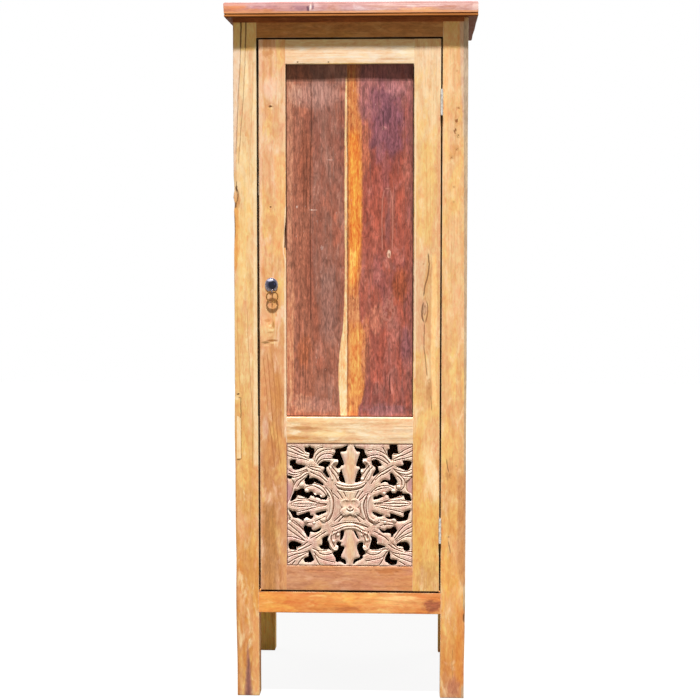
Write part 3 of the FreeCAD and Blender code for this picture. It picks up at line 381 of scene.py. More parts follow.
def boardFinish(name, p, seed):
    # p: grain axis, stops of colour along the board, marks read off the photo
    material, tree = startMaterial(name)
    faceY = p.get("faceY", doorFace)
    place = addNode(tree, "ShaderNodeTexCoord").outputs["Object"]
    parts = parted(tree, place)
    turned = addNode(tree, "ShaderNodeMapping", {"Vector": place, "Rotation": grainTurn[p["grain"]]}).outputs[0]
    grain = useGroup(tree, boardGrain, {"Vector": turned, "Seed": float(seed), "Wave": p.get("wave", 2.0)})
    low, high = p["span"]
    along = remap(tree, parts["xyz".index(p["grain"])], low * mm, high * mm, smooth=False)
    along = timesPlus(tree, less(tree, grain["Patches"], 0.5), woodSkin["patchShift"], along)
    ramp = addNode(tree, "ShaderNodeValToRGB", {"Fac": along})
    stops = ramp.color_ramp.elements
    while len(stops) < len(p["stops"]):
        stops.new(0.5)
    for stop, (position, shade) in zip(stops, p["stops"]):
        stop.position = position
        stop.color = tint(shade)
    colour = ramp.outputs["Color"]

    # lays a colour under a mask: grain, stains and marks, and also painted shade and painted highlights
    def colourWhere(mask, share, over, blend="MIX"):
        nonlocal colour
        colour = mixColour(tree, times(tree, mask, share), colour, tint(over), blend)

    for label, low, high, share, over in boardLayers:
        if share in p and over in p:
            blend = "MULTIPLY" if label == "Fibres" else "MIX"
            colourWhere(remap(tree, grain[label], low, high), p[share], p[over], blend)
    front = 1.0
    if "markDeep" in p:
        front = remap(tree, parts[1], faceY + p["markDeep"] * mm, faceY + p["markDeep"] * 0.6 * mm)
    for kind, maskOf in (("bands", bandMask), ("spots", spotMask)):
        for mark in p.get(kind, []):
            colourWhere(times(tree, maskOf(tree, place, mark, faceY), front), mark["share"], mark["tint"])
    for label in ("Mottle", "Fibres", "Streaks")[:p["overlays"]]:
        light = remap(tree, grain[label], p["crisp"], 1 - p["crisp"], *woodSkin["overlay"], smooth=False)
        colour = mixColour(tree, p["mottle"], colour, light, "OVERLAY")
    if "flecks" in p:
        colourWhere(grain["Flecks"], p["flecks"], p["fleckTint"])
    dips = grain["Height"]
    for mark in p.get("knots", []):
        depth = spotMask(tree, place, mark, faceY, "Depth")
        knot = useGroup(tree, knotRings, {"Depth": depth, "Count": mark.get("count", 3.0)})
        rings, core = (times(tree, knot[part], front) for part in ("Rings", "Core"))
        colourWhere(rings, mark.get("ringShare", 0.45), mark.get("ringTint", p["lineTint"]))
        colourWhere(core, mark["share"], mark["tint"])
        dips = less(tree, dips, core)
    for mark in p.get("lineMarks", []):
        mask = times(tree, bandMask(tree, place, mark, faceY), front)
        colourWhere(mask, mark["share"], mark["tint"])
        dips = timesPlus(tree, mask, mark["dip"], dips)
    # painted shade in the carving's hollows and painted highlight on its rims
    if "hollowTint" in p:
        hollow = addNode(tree, "ShaderNodeAttribute", attribute_name="hollow").outputs["Fac"]
        colourWhere(remap(tree, hollow, 0.0, 0.55), p["hollowShare"], p["hollowTint"])
        colourWhere(remap(tree, hollow, -0.05, -0.6), p["paintedHighlightShare"], p["paintedHighlightTint"])
    edge = addNode(tree, "ShaderNodeAttribute", attribute_name="edge").outputs["Fac"]
    worn = useGroup(tree, edgeWear, {"Vector": place, "Edge": edge, "Amount": p.get("wear", 0.6)})["Mask"]
    colour = mixColour(tree, worn, colour, tint(woodSkin["wornTint"]))
    # boxes of painted shade in gaps and recesses, and of dirty seams
    for box in p.get("darkBoxes", []):
        ends = {end.title(): [c * mm for c in box[end]] for end in ("low", "high")}
        mask = useGroup(tree, boxDarkening, {"Vector": place, "Soft": woodSkin["darkBoxSoft"], **ends})["Mask"]
        colourWhere(mask, box["share"], box["tint"], box["blend"])
    bump = addNode(tree, "ShaderNodeBump", {
        "Strength": p.get("bump", 0.35), "Distance": woodSkin["bumpDeep"], "Height": dips})
    rough = remap(tree, grain["Streaks"], 0.3, 0.7, *woodSkin["rough"], smooth=False)
    endMaterial(tree, addNode(tree, "ShaderNodeBsdfPrincipled", {
        "Base Color": colour, "Roughness": rough, "Normal": bump.outputs[0],
        "Specular IOR Level": p.get("gloss", 0.16)}))
    return material


def metalFinish(name, p):
    # cast or rolled metal with a faint uneven skin
    material, tree = startMaterial(name)
    place = addNode(tree, "ShaderNodeTexCoord").outputs["Object"]
    skin = noise(tree, stretch(tree, place, (p["grit"],) * 3), 4.0, 0.6)
    colour = mixColour(tree, remap(tree, skin, 0.35, 0.68), tint(p["tint"]), tint(p["dull"]))
    for mark in p.get("spots", []):
        mask = times(tree, spotMask(tree, place, mark, p["faceY"]), mark["share"])
        colour = mixColour(tree, mask, colour, tint(mark["tint"]))
    rough = remap(tree, skin, 0.3, 0.7, p["rough"] - 0.08, p["rough"] + 0.12, smooth=False)
    bump = addNode(tree, "ShaderNodeBump", {"Strength": p["bump"], "Distance": 0.4 * mm, "Height": skin})
    endMaterial(tree, addNode(tree, "ShaderNodeBsdfPrincipled", {
        "Base Color": colour, "Roughness": rough, "Normal": bump.outputs[0], "Metallic": p["metal"]}))
    return material


goldLine = (188, 130, 76)
softGrain = dict(
    wear=0.45, lines=0.14, streaks=0.3, fibres=0.34, checks=0.42, blotches=0.6, glows=0.65, mottle=0.26,
    crisp=0.3, overlays=2, blushTint=(240, 186, 142), blush=0.55, sunnyTint=(250, 206, 124), sunny=0.5)
farX, farZ = 900, 2500    # beyond the wardrobe


def gapShadeAlong(side, x):
    # painted shade on the faces that look into the gap beside the door: black and wide at the upper left, thin
    # elsewhere
    low, high = (x - 1, x + 60) if side == "left" else (x - 60, x + 1)
    if side == "right":
        return [darkBox((low, -235.2, 281), (high, -224, 1712), (60, 35, 20), 0.95)]
    return [darkBox((low, -237.0, 745), (high, -224, 1712), (24, 15, 9), 0.97),
            darkBox((low, -235.2, 281), (high, -224, 745), (44, 27, 16), 0.95)]


finishes = {}
finishes["leftPost"] = dict(
    softGrain, grain="z", span=(0, 1763), markDeep=16, lineTint=goldLine, deep=(226, 172, 108),
    deepShare=0.4, pale=(254, 230, 184), paleShare=0.45, blotchTint=(224, 160, 88),
    glowTint=(252, 226, 176), darkBoxes=gapShadeAlong("left", -239),
    knots=[spot(238.4, 394, 6, 4, (86, 48, 26), 0.97, 0.8, count=1.6)],
    stops=[
        (0.0, (204, 134, 78)), (0.14, (224, 150, 72)), (0.28, (226, 168, 98)), (0.42, (236, 188, 126)),
        (0.6, (246, 204, 144)), (0.85, (253, 222, 174)), (1.0, (246, 212, 172))],
    bands=[
        # the olive tone across the top is painted shade under the overhanging top
        band([(220, 8), (220, 52)], 270, (242, 200, 112), 0.65, fade=3),
        band([(228, 8), (230, 706)], [(233.7, 8), (234.2, 200), (235.6, 450), (239.2, 706)], (176, 124, 70),
             0.75, soft=0.4, ragged=0.8),
        band(228, [(241, 44), (240.5, 60), (239, 90), (237.5, 125), (235.5, 175)], (240, 208, 182), 0.7),
        band([(254.5, 40), (253.5, 160), (253.5, 300), (254, 470)], 262, (250, 226, 184), 0.55),
        band(228, [(236.5, 196), (240, 235), (236, 275)], (230, 160, 80), 0.8),
        band(238, [(250, 205), (246, 250), (243, 310)], (250, 212, 140), 0.5),
        band([(228, 300), (230, 470), (230, 560)],
             [(238, 300), (247, 345), (250.5, 385), (240, 480), (236, 560)], (228, 178, 108), 0.5,
             soft=1.5),
        band([(247.6, 640), (246.4, 662), (245, 682), (243.4, 706)],
             [(248.2, 640), (250, 662), (251.4, 682), (253, 706)], (158, 104, 98), 0.8, soft=1.6,
             ragged=2.4),
        band([(248, 655), (247, 680), (246, 706)], [(248.6, 655), (249.6, 680), (250.4, 706)],
             (112, 72, 80), 0.6, soft=1.3, ragged=2.0),
        band([(252.5, 610), (253.5, 706)], 268, (238, 176, 118), 0.6),
        band(228, [(236.4, 440), (238, 560), (240.4, 706)], (200, 132, 76), 0.6)],
    spots=[
        spot(236.6, 189, 1.6, 4.5, (84, 50, 30), 0.9, 1.4),
        spot(235.6, 205, 1.8, 4, (84, 50, 30), 0.9, 1.4),
        spot(234.6, 226, 1.2, 18, (140, 88, 44), 0.8, 1.2),
        spot(238.6, 459.6, 2.8, 0.8, (110, 70, 42), 0.9), spot(238.4, 397.6, 2.6, 0.8, (130, 84, 50), 0.8),
        spot(247, 560, 7, 36, (206, 142, 78), 0.5), spot(246, 75, 3, 26, (254, 226, 176)),
        spot(237, 398, 2.6, 3, (250, 214, 160)), spot(238, 200, 3, 12, (206, 146, 84), 0.7)],
    lineMarks=[
        lineMark([(241, 14), (240.6, 50)], (78, 54, 26), 1.5, 0.9, soft=0.5),
        lineMark([(246.2, 14), (245.4, 50)], (78, 54, 26), 1.2, 0.9, soft=0.5),
        lineMark([(241.4, 16), (240.2, 60), (238.6, 90), (237, 130), (235.8, 156)], (140, 98, 66), 0.6),
        lineMark([(246.4, 16), (245.4, 48), (243.8, 88), (241.6, 120), (238.2, 166)], (158, 108, 70), 0.6),
        lineMark([(253, 60), (252.6, 95), (250.8, 130), (249.4, 180)], (206, 150, 98), share=0.7, dip=-0.5),
        lineMark([(247, 305), (248.4, 345), (250.6, 385), (252.8, 420), (252.4, 470)], (178, 122, 66),
              share=0.8, dip=-0.8),
        lineMark([(237, 305), (238.2, 350), (240.4, 392)], (196, 138, 76), share=0.8, dip=-0.5),
        lineMark([(250, 470), (250.5, 520), (249.5, 560)], (190, 132, 74), share=0.6, dip=-0.5),
        lineMark([(242, 380), (243, 440), (242.4, 500)], (200, 144, 84), share=0.5, dip=-0.3),
        lineMark([(236.8, 180), (236.2, 188), (238.2, 192), (236.4, 206)], (92, 56, 32), 0.9, ragged=2.4),
        lineMark([(241, 397), (240.8, 430), (240.9, 460)], (120, 78, 46), 0.9, fade=1)])
finishes["rightPost"] = dict(
    softGrain, grain="z", span=(0, 1763), markDeep=16, lineTint=goldLine, deep=(230, 174, 110),
    deepShare=0.4, pale=(252, 216, 164), paleShare=0.45, blotchTint=(228, 166, 98),
    glowTint=(252, 216, 168), darkBoxes=gapShadeAlong("right", 235),
    stops=[
        (0.0, (198, 128, 84)), (0.06, (228, 156, 84)), (0.16, (242, 182, 98)), (0.28, (230, 172, 106)),
        (0.42, (240, 190, 132)), (0.6, (247, 200, 144)), (0.85, (250, 204, 150)), (1.0, (246, 200, 146))],
    bands=[
        # the olive tone across the top is painted shade under the overhanging top
        band([(430, 8), (430, 50)], 480, (238, 188, 112), 0.6, fade=3),
        band([(459.6, 16), (460.4, 60), (463.5, 140)], 475, (222, 186, 160), 0.75),
        # the grey strip down the outer arris is painted shade on the worn chamfer
        band([(463.6, 16), (464, 300), (463.4, 560), (461, 706)], 475, (176, 160, 138), 0.7, soft=0.5,
             ragged=0.6),
        band([(456.5, 470), (458, 500), (457, 545), (461, 590)], 470, (200, 138, 88), 0.75, soft=1.6),
        band([(448, 470), (449, 520), (448, 590)], [(456, 470), (457, 520), (455, 590)], (226, 164, 92),
             0.5, soft=2),
        band([(457, 606), (456, 640), (454, 690)], 470, (222, 140, 66), 0.75, soft=1.6),
        band(440, [(450, 30), (446, 120)], (250, 196, 132), 0.6)],
    spots=[
        spot(453, 688, 9, 16, (192, 122, 92), 0.85, 1.2), spot(456, 150, 6, 10, (226, 164, 100), 0.6, 1.6),
        spot(449, 366, 4, 7, (220, 160, 110), 0.6, 1.6), spot(448, 476, 4, 5, (176, 116, 66), 0.6, 1.8),
        spot(450, 660, 4, 20, (218, 146, 84), 0.5, 1.6)],
    knots=[
        spot(456.6, 121, 4.6, 6, (146, 86, 46), 0.9, 1.6, count=1.5),
        spot(455.2, 131, 4.4, 6, (118, 68, 36), 0.95, 1.6, count=1.5),
        spot(458, 136, 3.4, 4, (130, 76, 42), ragged=1.6),
        spot(458.6, 108, 4, 3, (176, 112, 62), ragged=1.6),
        spot(451.6, 157, 4, 4, (180, 118, 70), ragged=1.8),
        spot(457, 149, 4, 3.4, (170, 106, 60), ragged=1.8), spot(454, 187, 2.6, 2.6, (170, 112, 70)),
        spot(457, 71, 2, 2, (190, 130, 84)), spot(453.6, 202, 2.4, 2.2, (196, 140, 92)),
        spot(448.6, 537, 3, 2.2, (120, 72, 40)), spot(456.2, 466, 2, 1.6, (110, 66, 38))],
    lineMarks=[
        lineMark([(446.6, 458), (447.2, 466), (449, 474)], (120, 74, 44), 0.9),
        lineMark([(448.2, 540), (449.4, 548), (450.4, 555)], (110, 64, 34), 0.8),
        lineMark([(456, 108), (455, 128), (456, 145), (453, 160)], (196, 132, 78), share=0.6, dip=-0.5),
        lineMark([(452.6, 648), (452, 664), (452.6, 680)], (150, 90, 52), share=0.6),
        lineMark([(464.4, 612), (463.6, 618), (464.2, 624)], (50, 34, 26), 1.6, soft=0.8)])
finishes["leftStile"] = dict(
    softGrain, grain="z", span=(284, 1710), lineTint=(184, 116, 66), deep=(226, 164, 106), deepShare=0.4,
    pale=(250, 214, 174), paleShare=0.4, wave=3.2, blotchTint=(222, 152, 92), glowTint=(250, 210, 176),
    # the last two stops darken the top end: painted shade under the overhanging top
    stops=[
        (0.0, (200, 140, 90)), (0.3, (212, 152, 100)), (0.42, (218, 156, 102)), (0.52, (238, 182, 122)),
        (0.72, (247, 200, 146)), (0.9, (252, 212, 174)), (0.97, (240, 186, 138)), (1.0, (222, 162, 108))],
    # painted shade: black in the gap beside the door, dark in the notch and along the edge beside the panel
    darkBoxes=[
        darkBox((-farX, -237.0, 745), (-233.8, -225, farZ), (24, 15, 9), 0.97),
        darkBox((-farX, -235.2, 200), (-233.8, -225, 745), (44, 27, 16), 0.95),
        darkBox((-168.6, -235.4, 1262), (-160, -212, 1642), (66, 38, 26), 0.9),
        darkBox((-168.6, -235.4, 1174), (-160, -212, 1262), (32, 15, 7), 0.95),
        darkBox((-168.6, -235.4, 745), (-160, -212, 1174), (124, 72, 52), 0.8)],
    bands=[
        band(255, [(262.6, 30), (261.4, 330)], (246, 206, 172), 0.55),
        band([(273, 150), (276, 200), (272, 260)], 292, (246, 192, 126), 0.6, soft=2),
        # a painted highlight along the inner arris
        band([(284.4, 255), (284, 330), (284.4, 440)], 292, (252, 224, 190), 0.7, soft=0.5),
        band([(264, 500), (264, 560), (263, 600)], [(275, 500), (277, 560), (276, 600)], (182, 124, 68),
             0.75, soft=2.4),
        band(255, [(262.6, 440), (262, 600)], (216, 162, 122), 0.6),
        band([(281, 470), (281, 600)], 292, (218, 158, 116), 0.55)],
    spots=[
        spot(268, 53, 7, 6, (206, 140, 84), 0.7, 2.0), spot(268, 102, 4, 5, (226, 176, 128), 0.7),
        spot(270, 88, 9, 16, (252, 214, 190), 0.6), spot(270, 222, 8, 12, (222, 160, 104), 0.6, 1.8),
        spot(277, 128, 7, 8, (226, 174, 128), 0.55, 2.0),
        spot(267, 331, 11, 12, (252, 208, 150), 0.8, 1.4, soft=0.7),
        spot(267.4, 320.6, 4, 2.4, (200, 128, 70), 0.6, 1.4),
        spot(273.6, 325, 1.5, 5, (172, 120, 58), 0.75, 1.0),
        # the palest spots here and below the crack are painted highlights on the lips of the dent and the crack
        spot(270.2, 325.8, 2.4, 1.6, (255, 228, 172), 0.7, 0.8),
        spot(271, 330, 3.4, 1.6, (255, 228, 168), 0.7, 0.8, lean=0.6),
        spot(270.6, 332.4, 4, 1.2, (206, 150, 88), 0.6, 1.0),
        spot(272.8, 340.4, 7.5, 1.5, (164, 104, 50), 0.85, 1.0),
        spot(265.6, 342.4, 5.5, 1.7, (150, 112, 62), 0.8, 1.0),
        spot(273.8, 342.8, 6, 1.3, (255, 212, 152), 0.6, 1.0),
        spot(266, 345.4, 4, 1.4, (255, 214, 156), 0.5, 1.0), spot(265.5, 428, 4, 15, (228, 184, 152), 0.8),
        spot(276, 390, 8, 30, (206, 138, 80), 0.6, 1.4), spot(266, 375, 8, 22, (222, 160, 112), 0.6, 1.4),
        spot(276, 455, 8, 24, (202, 132, 78), 0.6, 1.4)],
    knots=[
        spot(271, 106.6, 7, 4.6, (96, 56, 30), 0.95, 0.9, count=1.6),
        spot(270.6, 207, 4, 3.4, (96, 54, 28), 0.95, count=1.6)],
    lineMarks=[
        lineMark([(263, 356), (266, 385), (268, 412)], (178, 112, 62), 0.8, 0.7, dip=-0.6),
        lineMark([(267, 352), (270, 385), (272.6, 420), (276, 452)], (174, 106, 58), 0.8, 0.7, dip=-0.6),
        lineMark([(272, 356), (275, 392), (277, 430), (281, 466)], (174, 106, 58), 0.8, 0.7, dip=-0.6),
        lineMark([(277, 365), (280, 400), (281.6, 440)], (182, 114, 64), 0.7, 0.6, dip=-0.6),
        lineMark([(269, 420), (272.4, 446), (275, 470)], (170, 104, 56), 0.8, 0.7, dip=-0.6),
        lineMark([(266, 150), (266.6, 190), (265.8, 240)], (216, 160, 112), share=0.5, dip=-0.3),
        lineMark([(281, 160), (280.6, 205), (281.4, 250)], (216, 156, 102), share=0.6, dip=-0.3),
        lineMark([(269, 530), (270, 560), (269.4, 596)], (150, 96, 50), share=0.5, dip=-0.5),
        # the chipped notch: painted shade inside it and a painted highlight along its edge
        lineMark([(286.4, 216), (285.4, 236), (284.6, 249)], (58, 26, 12), 1.1, soft=0.5, fade=2),
        lineMark([(285.6, 204), (284.4, 230), (283.4, 248), (284.6, 258), (285.6, 266)], (255, 234, 200), 1.0,
              0.75, soft=0.6, dip=0)])
finishes["rightStile"] = dict(
    softGrain, grain="z", span=(284, 1710), lineTint=(190, 130, 74), deep=(230, 178, 114), deepShare=0.35,
    pale=(252, 222, 176), paleShare=0.4, wave=2.6, blotchTint=(226, 172, 104), glowTint=(252, 220, 172),
    stops=[
        (0.0, (232, 182, 112)), (0.15, (236, 182, 106)), (0.3, (242, 196, 136)), (0.5, (234, 184, 130)),
        (0.7, (244, 200, 142)), (0.9, (252, 218, 172)), (1.0, (252, 220, 186))],
    # painted shade in the gap beside the door and along the edge beside the panel
    darkBoxes=[
        darkBox((230.4, -236.4, 200), (farX, -225, farZ), (70, 40, 22)),
        darkBox((155, -235.4, 745), (164, -212, 1642), (30, 17, 11), 0.9)],
    bands=[
        # painted shadow of the overhanging top across the upper end
        band([(400, 36), (400, 47)], [(450, 36), (450, 46)], (222, 178, 110), 0.65, fade=1.2),
        band([(437.6, 100), (437, 230), (439, 300)], 446, (230, 172, 128), 0.65),
        band([(422, 138), (423, 190), (424, 250)], [(432, 138), (434, 190), (431, 250)], (240, 196, 122),
             0.6, soft=2),
        band(412, [(427.6, 255), (424, 300), (426, 355)], (230, 184, 146), 0.65, soft=1.5),
        band([(427.6, 255), (424.6, 295), (428, 340), (430.6, 400)],
             [(433, 255), (431, 300), (431, 345), (432.6, 400)], (214, 160, 104), 0.6, soft=1.2),
        band([(432.4, 250), (431.6, 310), (431, 350), (433, 410)],
             [(436.4, 250), (437, 310), (435.4, 350), (437.6, 410)], (254, 210, 144), 0.8, soft=0.8),
        band([(421, 440), (424, 462), (428, 482), (434, 508)],
             [(430, 440), (435, 462), (438.4, 482), (439, 508)], (254, 226, 178), 0.75, soft=2.2, ragged=4,
             fade=16),
        band(412, [(420, 430), (424, 500), (419, 600)], (230, 172, 92), 0.65, soft=2)],
    spots=[
        spot(428, 572, 13, 18, (206, 152, 90), 0.6, 2.6), spot(436, 545, 6, 20, (222, 164, 86), 0.6, 2.0),
        spot(430, 525, 9, 24, (238, 184, 100), 0.6), spot(425, 308, 4, 9, (236, 188, 150), 0.8),
        spot(428.6, 392, 4, 16, (206, 150, 92), 0.7, 1.2), spot(424, 455, 7, 14, (244, 200, 138), 0.6)],
    knots=[
        spot(424.6, 310, 4.4, 14, (226, 178, 140), ringTint=(132, 84, 50), ringShare=0.75, count=1.4,
             ragged=0.5),
        spot(429, 384, 3.4, 8, (214, 160, 104), ringTint=(178, 122, 72), ringShare=0.6, count=2.0),
        spot(423.6, 264, 1.8, 2, (176, 122, 84))],
    lineMarks=[
        lineMark([(428, 252), (429, 266), (427.4, 278), (424.6, 288), (423.4, 298)], (112, 68, 42), 1.2),
        lineMark([(424, 301), (422.4, 308), (422, 314), (424.2, 324)], (92, 54, 32), 1.4),
        lineMark([(426.4, 300), (427.6, 309), (426.6, 318), (424.8, 325)], (150, 98, 60), 1.0),
        lineMark([(424.6, 322), (424, 342), (425.4, 360), (427.4, 378)], (140, 90, 54), 0.9, 0.8),
        lineMark([(431, 395), (431.8, 412)], (150, 100, 58), 0.8, 0.7),
        lineMark([(426, 150), (426.8, 200), (425.6, 246)], (206, 152, 92), share=0.6, dip=-0.3),
        lineMark([(430, 160), (430.4, 210), (429.4, 244)], (210, 158, 98), share=0.6, dip=-0.3),
        lineMark([(436.6, 55), (436.2, 90), (437, 122)], (224, 172, 130), share=0.6, dip=-0.2),
        # a line of painted shade where the stile meets the panel, and a painted highlight on the arris beside
        # it
        lineMark([(413.9, 64), (413.6, 200), (413, 365)], (46, 26, 22), 0.9, 0.85, soft=0.4, ragged=0.8),
        lineMark([(415.6, 100), (415.4, 230), (414.8, 380)], (255, 238, 210), 1.2, 0.55, soft=0.6, dip=0)])
finishes["doorTopRail"] = dict(
    softGrain, blushTint=(244, 202, 166), sunnyTint=(254, 226, 176), grain="x", span=(-166, 162),
    lineTint=(216, 164, 116), deep=(252, 216, 176), deepShare=0.4,
    stops=[(0.0, (254, 218, 178)), (0.5, (255, 230, 198)), (1.0, (255, 234, 204))],
    blotchTint=(242, 200, 154), glowTint=(255, 238, 208), silver=0.7, silverTint=(255, 244, 220),
    streaks=0.42,
    # painted shadow of the overhanging top across the upper edge
    bands=[band([(270, 36), (270, 47)], [(430, 36), (430, 46)], (222, 180, 116), 0.7, fade=1.2)],
    spots=[
        spot(350, 63.4, 66, 1.1, (244, 204, 112), 0.75, 0.8),
        spot(297.6, 62, 1.3, 1.0, (120, 76, 42), 0.9, 0.6),
        spot(328.4, 62, 1.3, 0.9, (120, 76, 42), 0.9, 0.6),
        spot(392, 59, 22, 1.3, (220, 164, 116), 0.65, 1.4),
        spot(330, 53.4, 40, 1.0, (236, 186, 140), 0.6, 1.4),
        spot(345, 57, 46, 1.6, (255, 246, 226), 0.6, 1.2)],
    # painted shade on the faces in the gap above and on the rail's lower face over the sunk panel
    darkBoxes=[
        darkBox((-farX, -237, 1708), (farX, -225, farZ), (30, 19, 10)),
        darkBox((-farX, -234.5, 1600), (farX, -212, 1648.5), share=0.7)])
finishes["doorMiddleRail"] = dict(
    softGrain, blushTint=(244, 196, 150), sunnyTint=(255, 226, 164), grain="x", span=(-166, 162),
    lineTint=(176, 116, 68), deep=(226, 174, 116), deepShare=0.6,
    stops=[(0.0, (246, 200, 144)), (0.4, (254, 222, 180)), (1.0, (254, 226, 190))], lines=0.24, streaks=0.4,
    blotchTint=(234, 186, 130), glowTint=(255, 238, 202), wear=0.95,
    spots=[
        spot(304, 428, 22, 2.4, (196, 136, 82), 0.75, 1.6),
        spot(296, 438, 18, 2.4, (210, 146, 80), 0.7, 1.6), spot(330, 434, 26, 4, (255, 226, 170), 0.7),
        spot(324, 442, 22, 2, (206, 156, 112), 0.6, 1.6), spot(378, 424, 20, 2, (222, 176, 130), 0.6, 1.6)])
finishes["doorBottomRail"] = dict(
    softGrain, blushTint=(208, 140, 112), sunnyTint=(222, 158, 96), grain="x", span=(-166, 162),
    lineTint=(150, 90, 58), deep=(196, 132, 92), deepShare=0.5,
    stops=[(0.0, (216, 158, 120)), (0.5, (218, 156, 116)), (1.0, (230, 160, 104))], streaks=0.35,
    blotchTint=(190, 122, 82), glowTint=(226, 172, 140),
    # painted shade on the faces in the gap below
    darkBoxes=[darkBox((-farX, -237, 200), (farX, -225, 286), (40, 24, 12))],
    spots=[
        spot(388, 571, 16, 4, (190, 116, 66), 0.7, 1.8), spot(320, 570, 24, 3, (196, 128, 92), 0.6, 1.8)])
finishes["leftPanelBoard"] = dict(
    grain="z", span=(740, 1647), faceY=-223 * mm, lineTint=(92, 50, 42), deep=(146, 96, 86), deepShare=0.5,
    pale=(200, 150, 134), paleShare=0.5, lines=0.16, streaks=0.55, fibres=0.6, checks=0.65, gloss=0.2,
    bump=0.5, blotches=0.6, blotchTint=(146, 84, 66), glows=0.35, glowTint=(204, 152, 134), mottle=0.41,
    crisp=0.34, overlays=3, silver=0.6, silverTint=(216, 162, 144), blush=0.5, blushTint=(186, 108, 84),
    sunny=0.4, sunnyTint=(158, 110, 96), flecks=0.7, fleckTint=(236, 200, 186),
    stops=[
        (0.0, (192, 122, 96)), (0.4, (168, 104, 84)), (0.85, (172, 108, 90)), (1.0, (204, 150, 134))],
    bands=[
        band(280, [(309, 60), (313, 120), (311.4, 200), (311, 300), (314, 370), (310, 420)], (170, 104, 80),
             0.75, soft=2.4, ragged=4),
        band(280, [(291, 60), (293, 160), (292, 250), (294, 330), (290, 420)], (198, 136, 108), 0.7,
             soft=2.0, ragged=4),
        band([(345.9, 76), (345, 110), (344.7, 160), (344.7, 215), (345, 262), (344.4, 300), (343.2, 325),
              (341, 342), (339, 362), (338.4, 378), (339.4, 394), (341, 422)], 356, (248, 206, 150), 0.95,
             soft=0.5, ragged=0.8, fade=3),
        band([(343, 345), (342.4, 380), (344, 420)], 356, (252, 224, 172), 0.5, soft=1)],
    spots=[
        spot(304, 352, 9, 22, (186, 104, 66), 0.6, 1.6), spot(290, 345, 6, 76, (224, 154, 112), 0.7, 1.4),
        spot(309, 275, 5, 66, (136, 74, 56), 0.5, 1.4), spot(309, 122, 7, 16, (132, 74, 60), 0.55, 1.6),
        spot(318, 318, 7, 56, (140, 80, 60), 0.5, 1.6), spot(302, 404, 16, 12, (212, 152, 122), 0.6, 1.8),
        spot(295, 94, 8, 14, (214, 164, 138), 0.6, 1.6), spot(316, 95, 30, 18, (198, 152, 140), 0.5),
        spot(328, 300, 13, 60, (156, 116, 106), 0.55, 1.4),
        spot(318, 405, 26, 10, (184, 132, 118), 0.5, 1.6), spot(306, 170, 9, 50, (142, 74, 50), 0.5, 1.4),
        spot(313.4, 210, 4.6, 0.7, (244, 212, 196), 0.8, 1.2, lean=0.5),
        spot(330.4, 160, 4.4, 0.6, (224, 184, 170), 0.7, 1.2, lean=0.5),
        spot(297, 207, 1, 1.6, (238, 204, 190), 0.7, 1.6), spot(322, 248, 2, 3, (196, 160, 150), 0.6, 2)],
    lineMarks=[
        lineMark([(311, 78), (311.6, 120), (310.4, 160), (310.6, 230), (310.8, 322)], (76, 40, 32), 0.7, 0.75,
              ragged=1.0),
        lineMark([(303, 130), (304, 180), (302.6, 240)], (88, 44, 32), 0.6, 0.6, ragged=1.4),
        lineMark([(306.6, 128), (307, 175), (306, 232)], (88, 44, 32), 0.5, 0.6, ragged=1.4),
        lineMark([(299, 300), (300, 350), (299, 412)], (96, 50, 36), 0.6, 0.6, ragged=1.6),
        lineMark([(305, 330), (305.6, 372), (304.6, 410)], (104, 54, 36), 0.6, 0.6, ragged=1.6),
        lineMark([(294, 90), (294.6, 150), (293.6, 220)], (128, 74, 58), 0.6, 0.5, ragged=1.6)],
    # a dark strip along the foot where the panel meets the middle rail; painted shade along the edge beside the
    # stile and painted shadow across the top, under the top rail
    darkBoxes=[
        darkBox((-farX, -400, 700), (farX, 0, 743.6), (70, 38, 32), 0.8),
        darkBox((-farX, -400, 1174), (-164, 0, 1700), share=0.75),
        darkBox((-farX, -400, 700), (-165, 0, 1174), share=0.4),
        darkBox((-farX, -400, 1604), (farX, 0, 1700), share=0.42)])
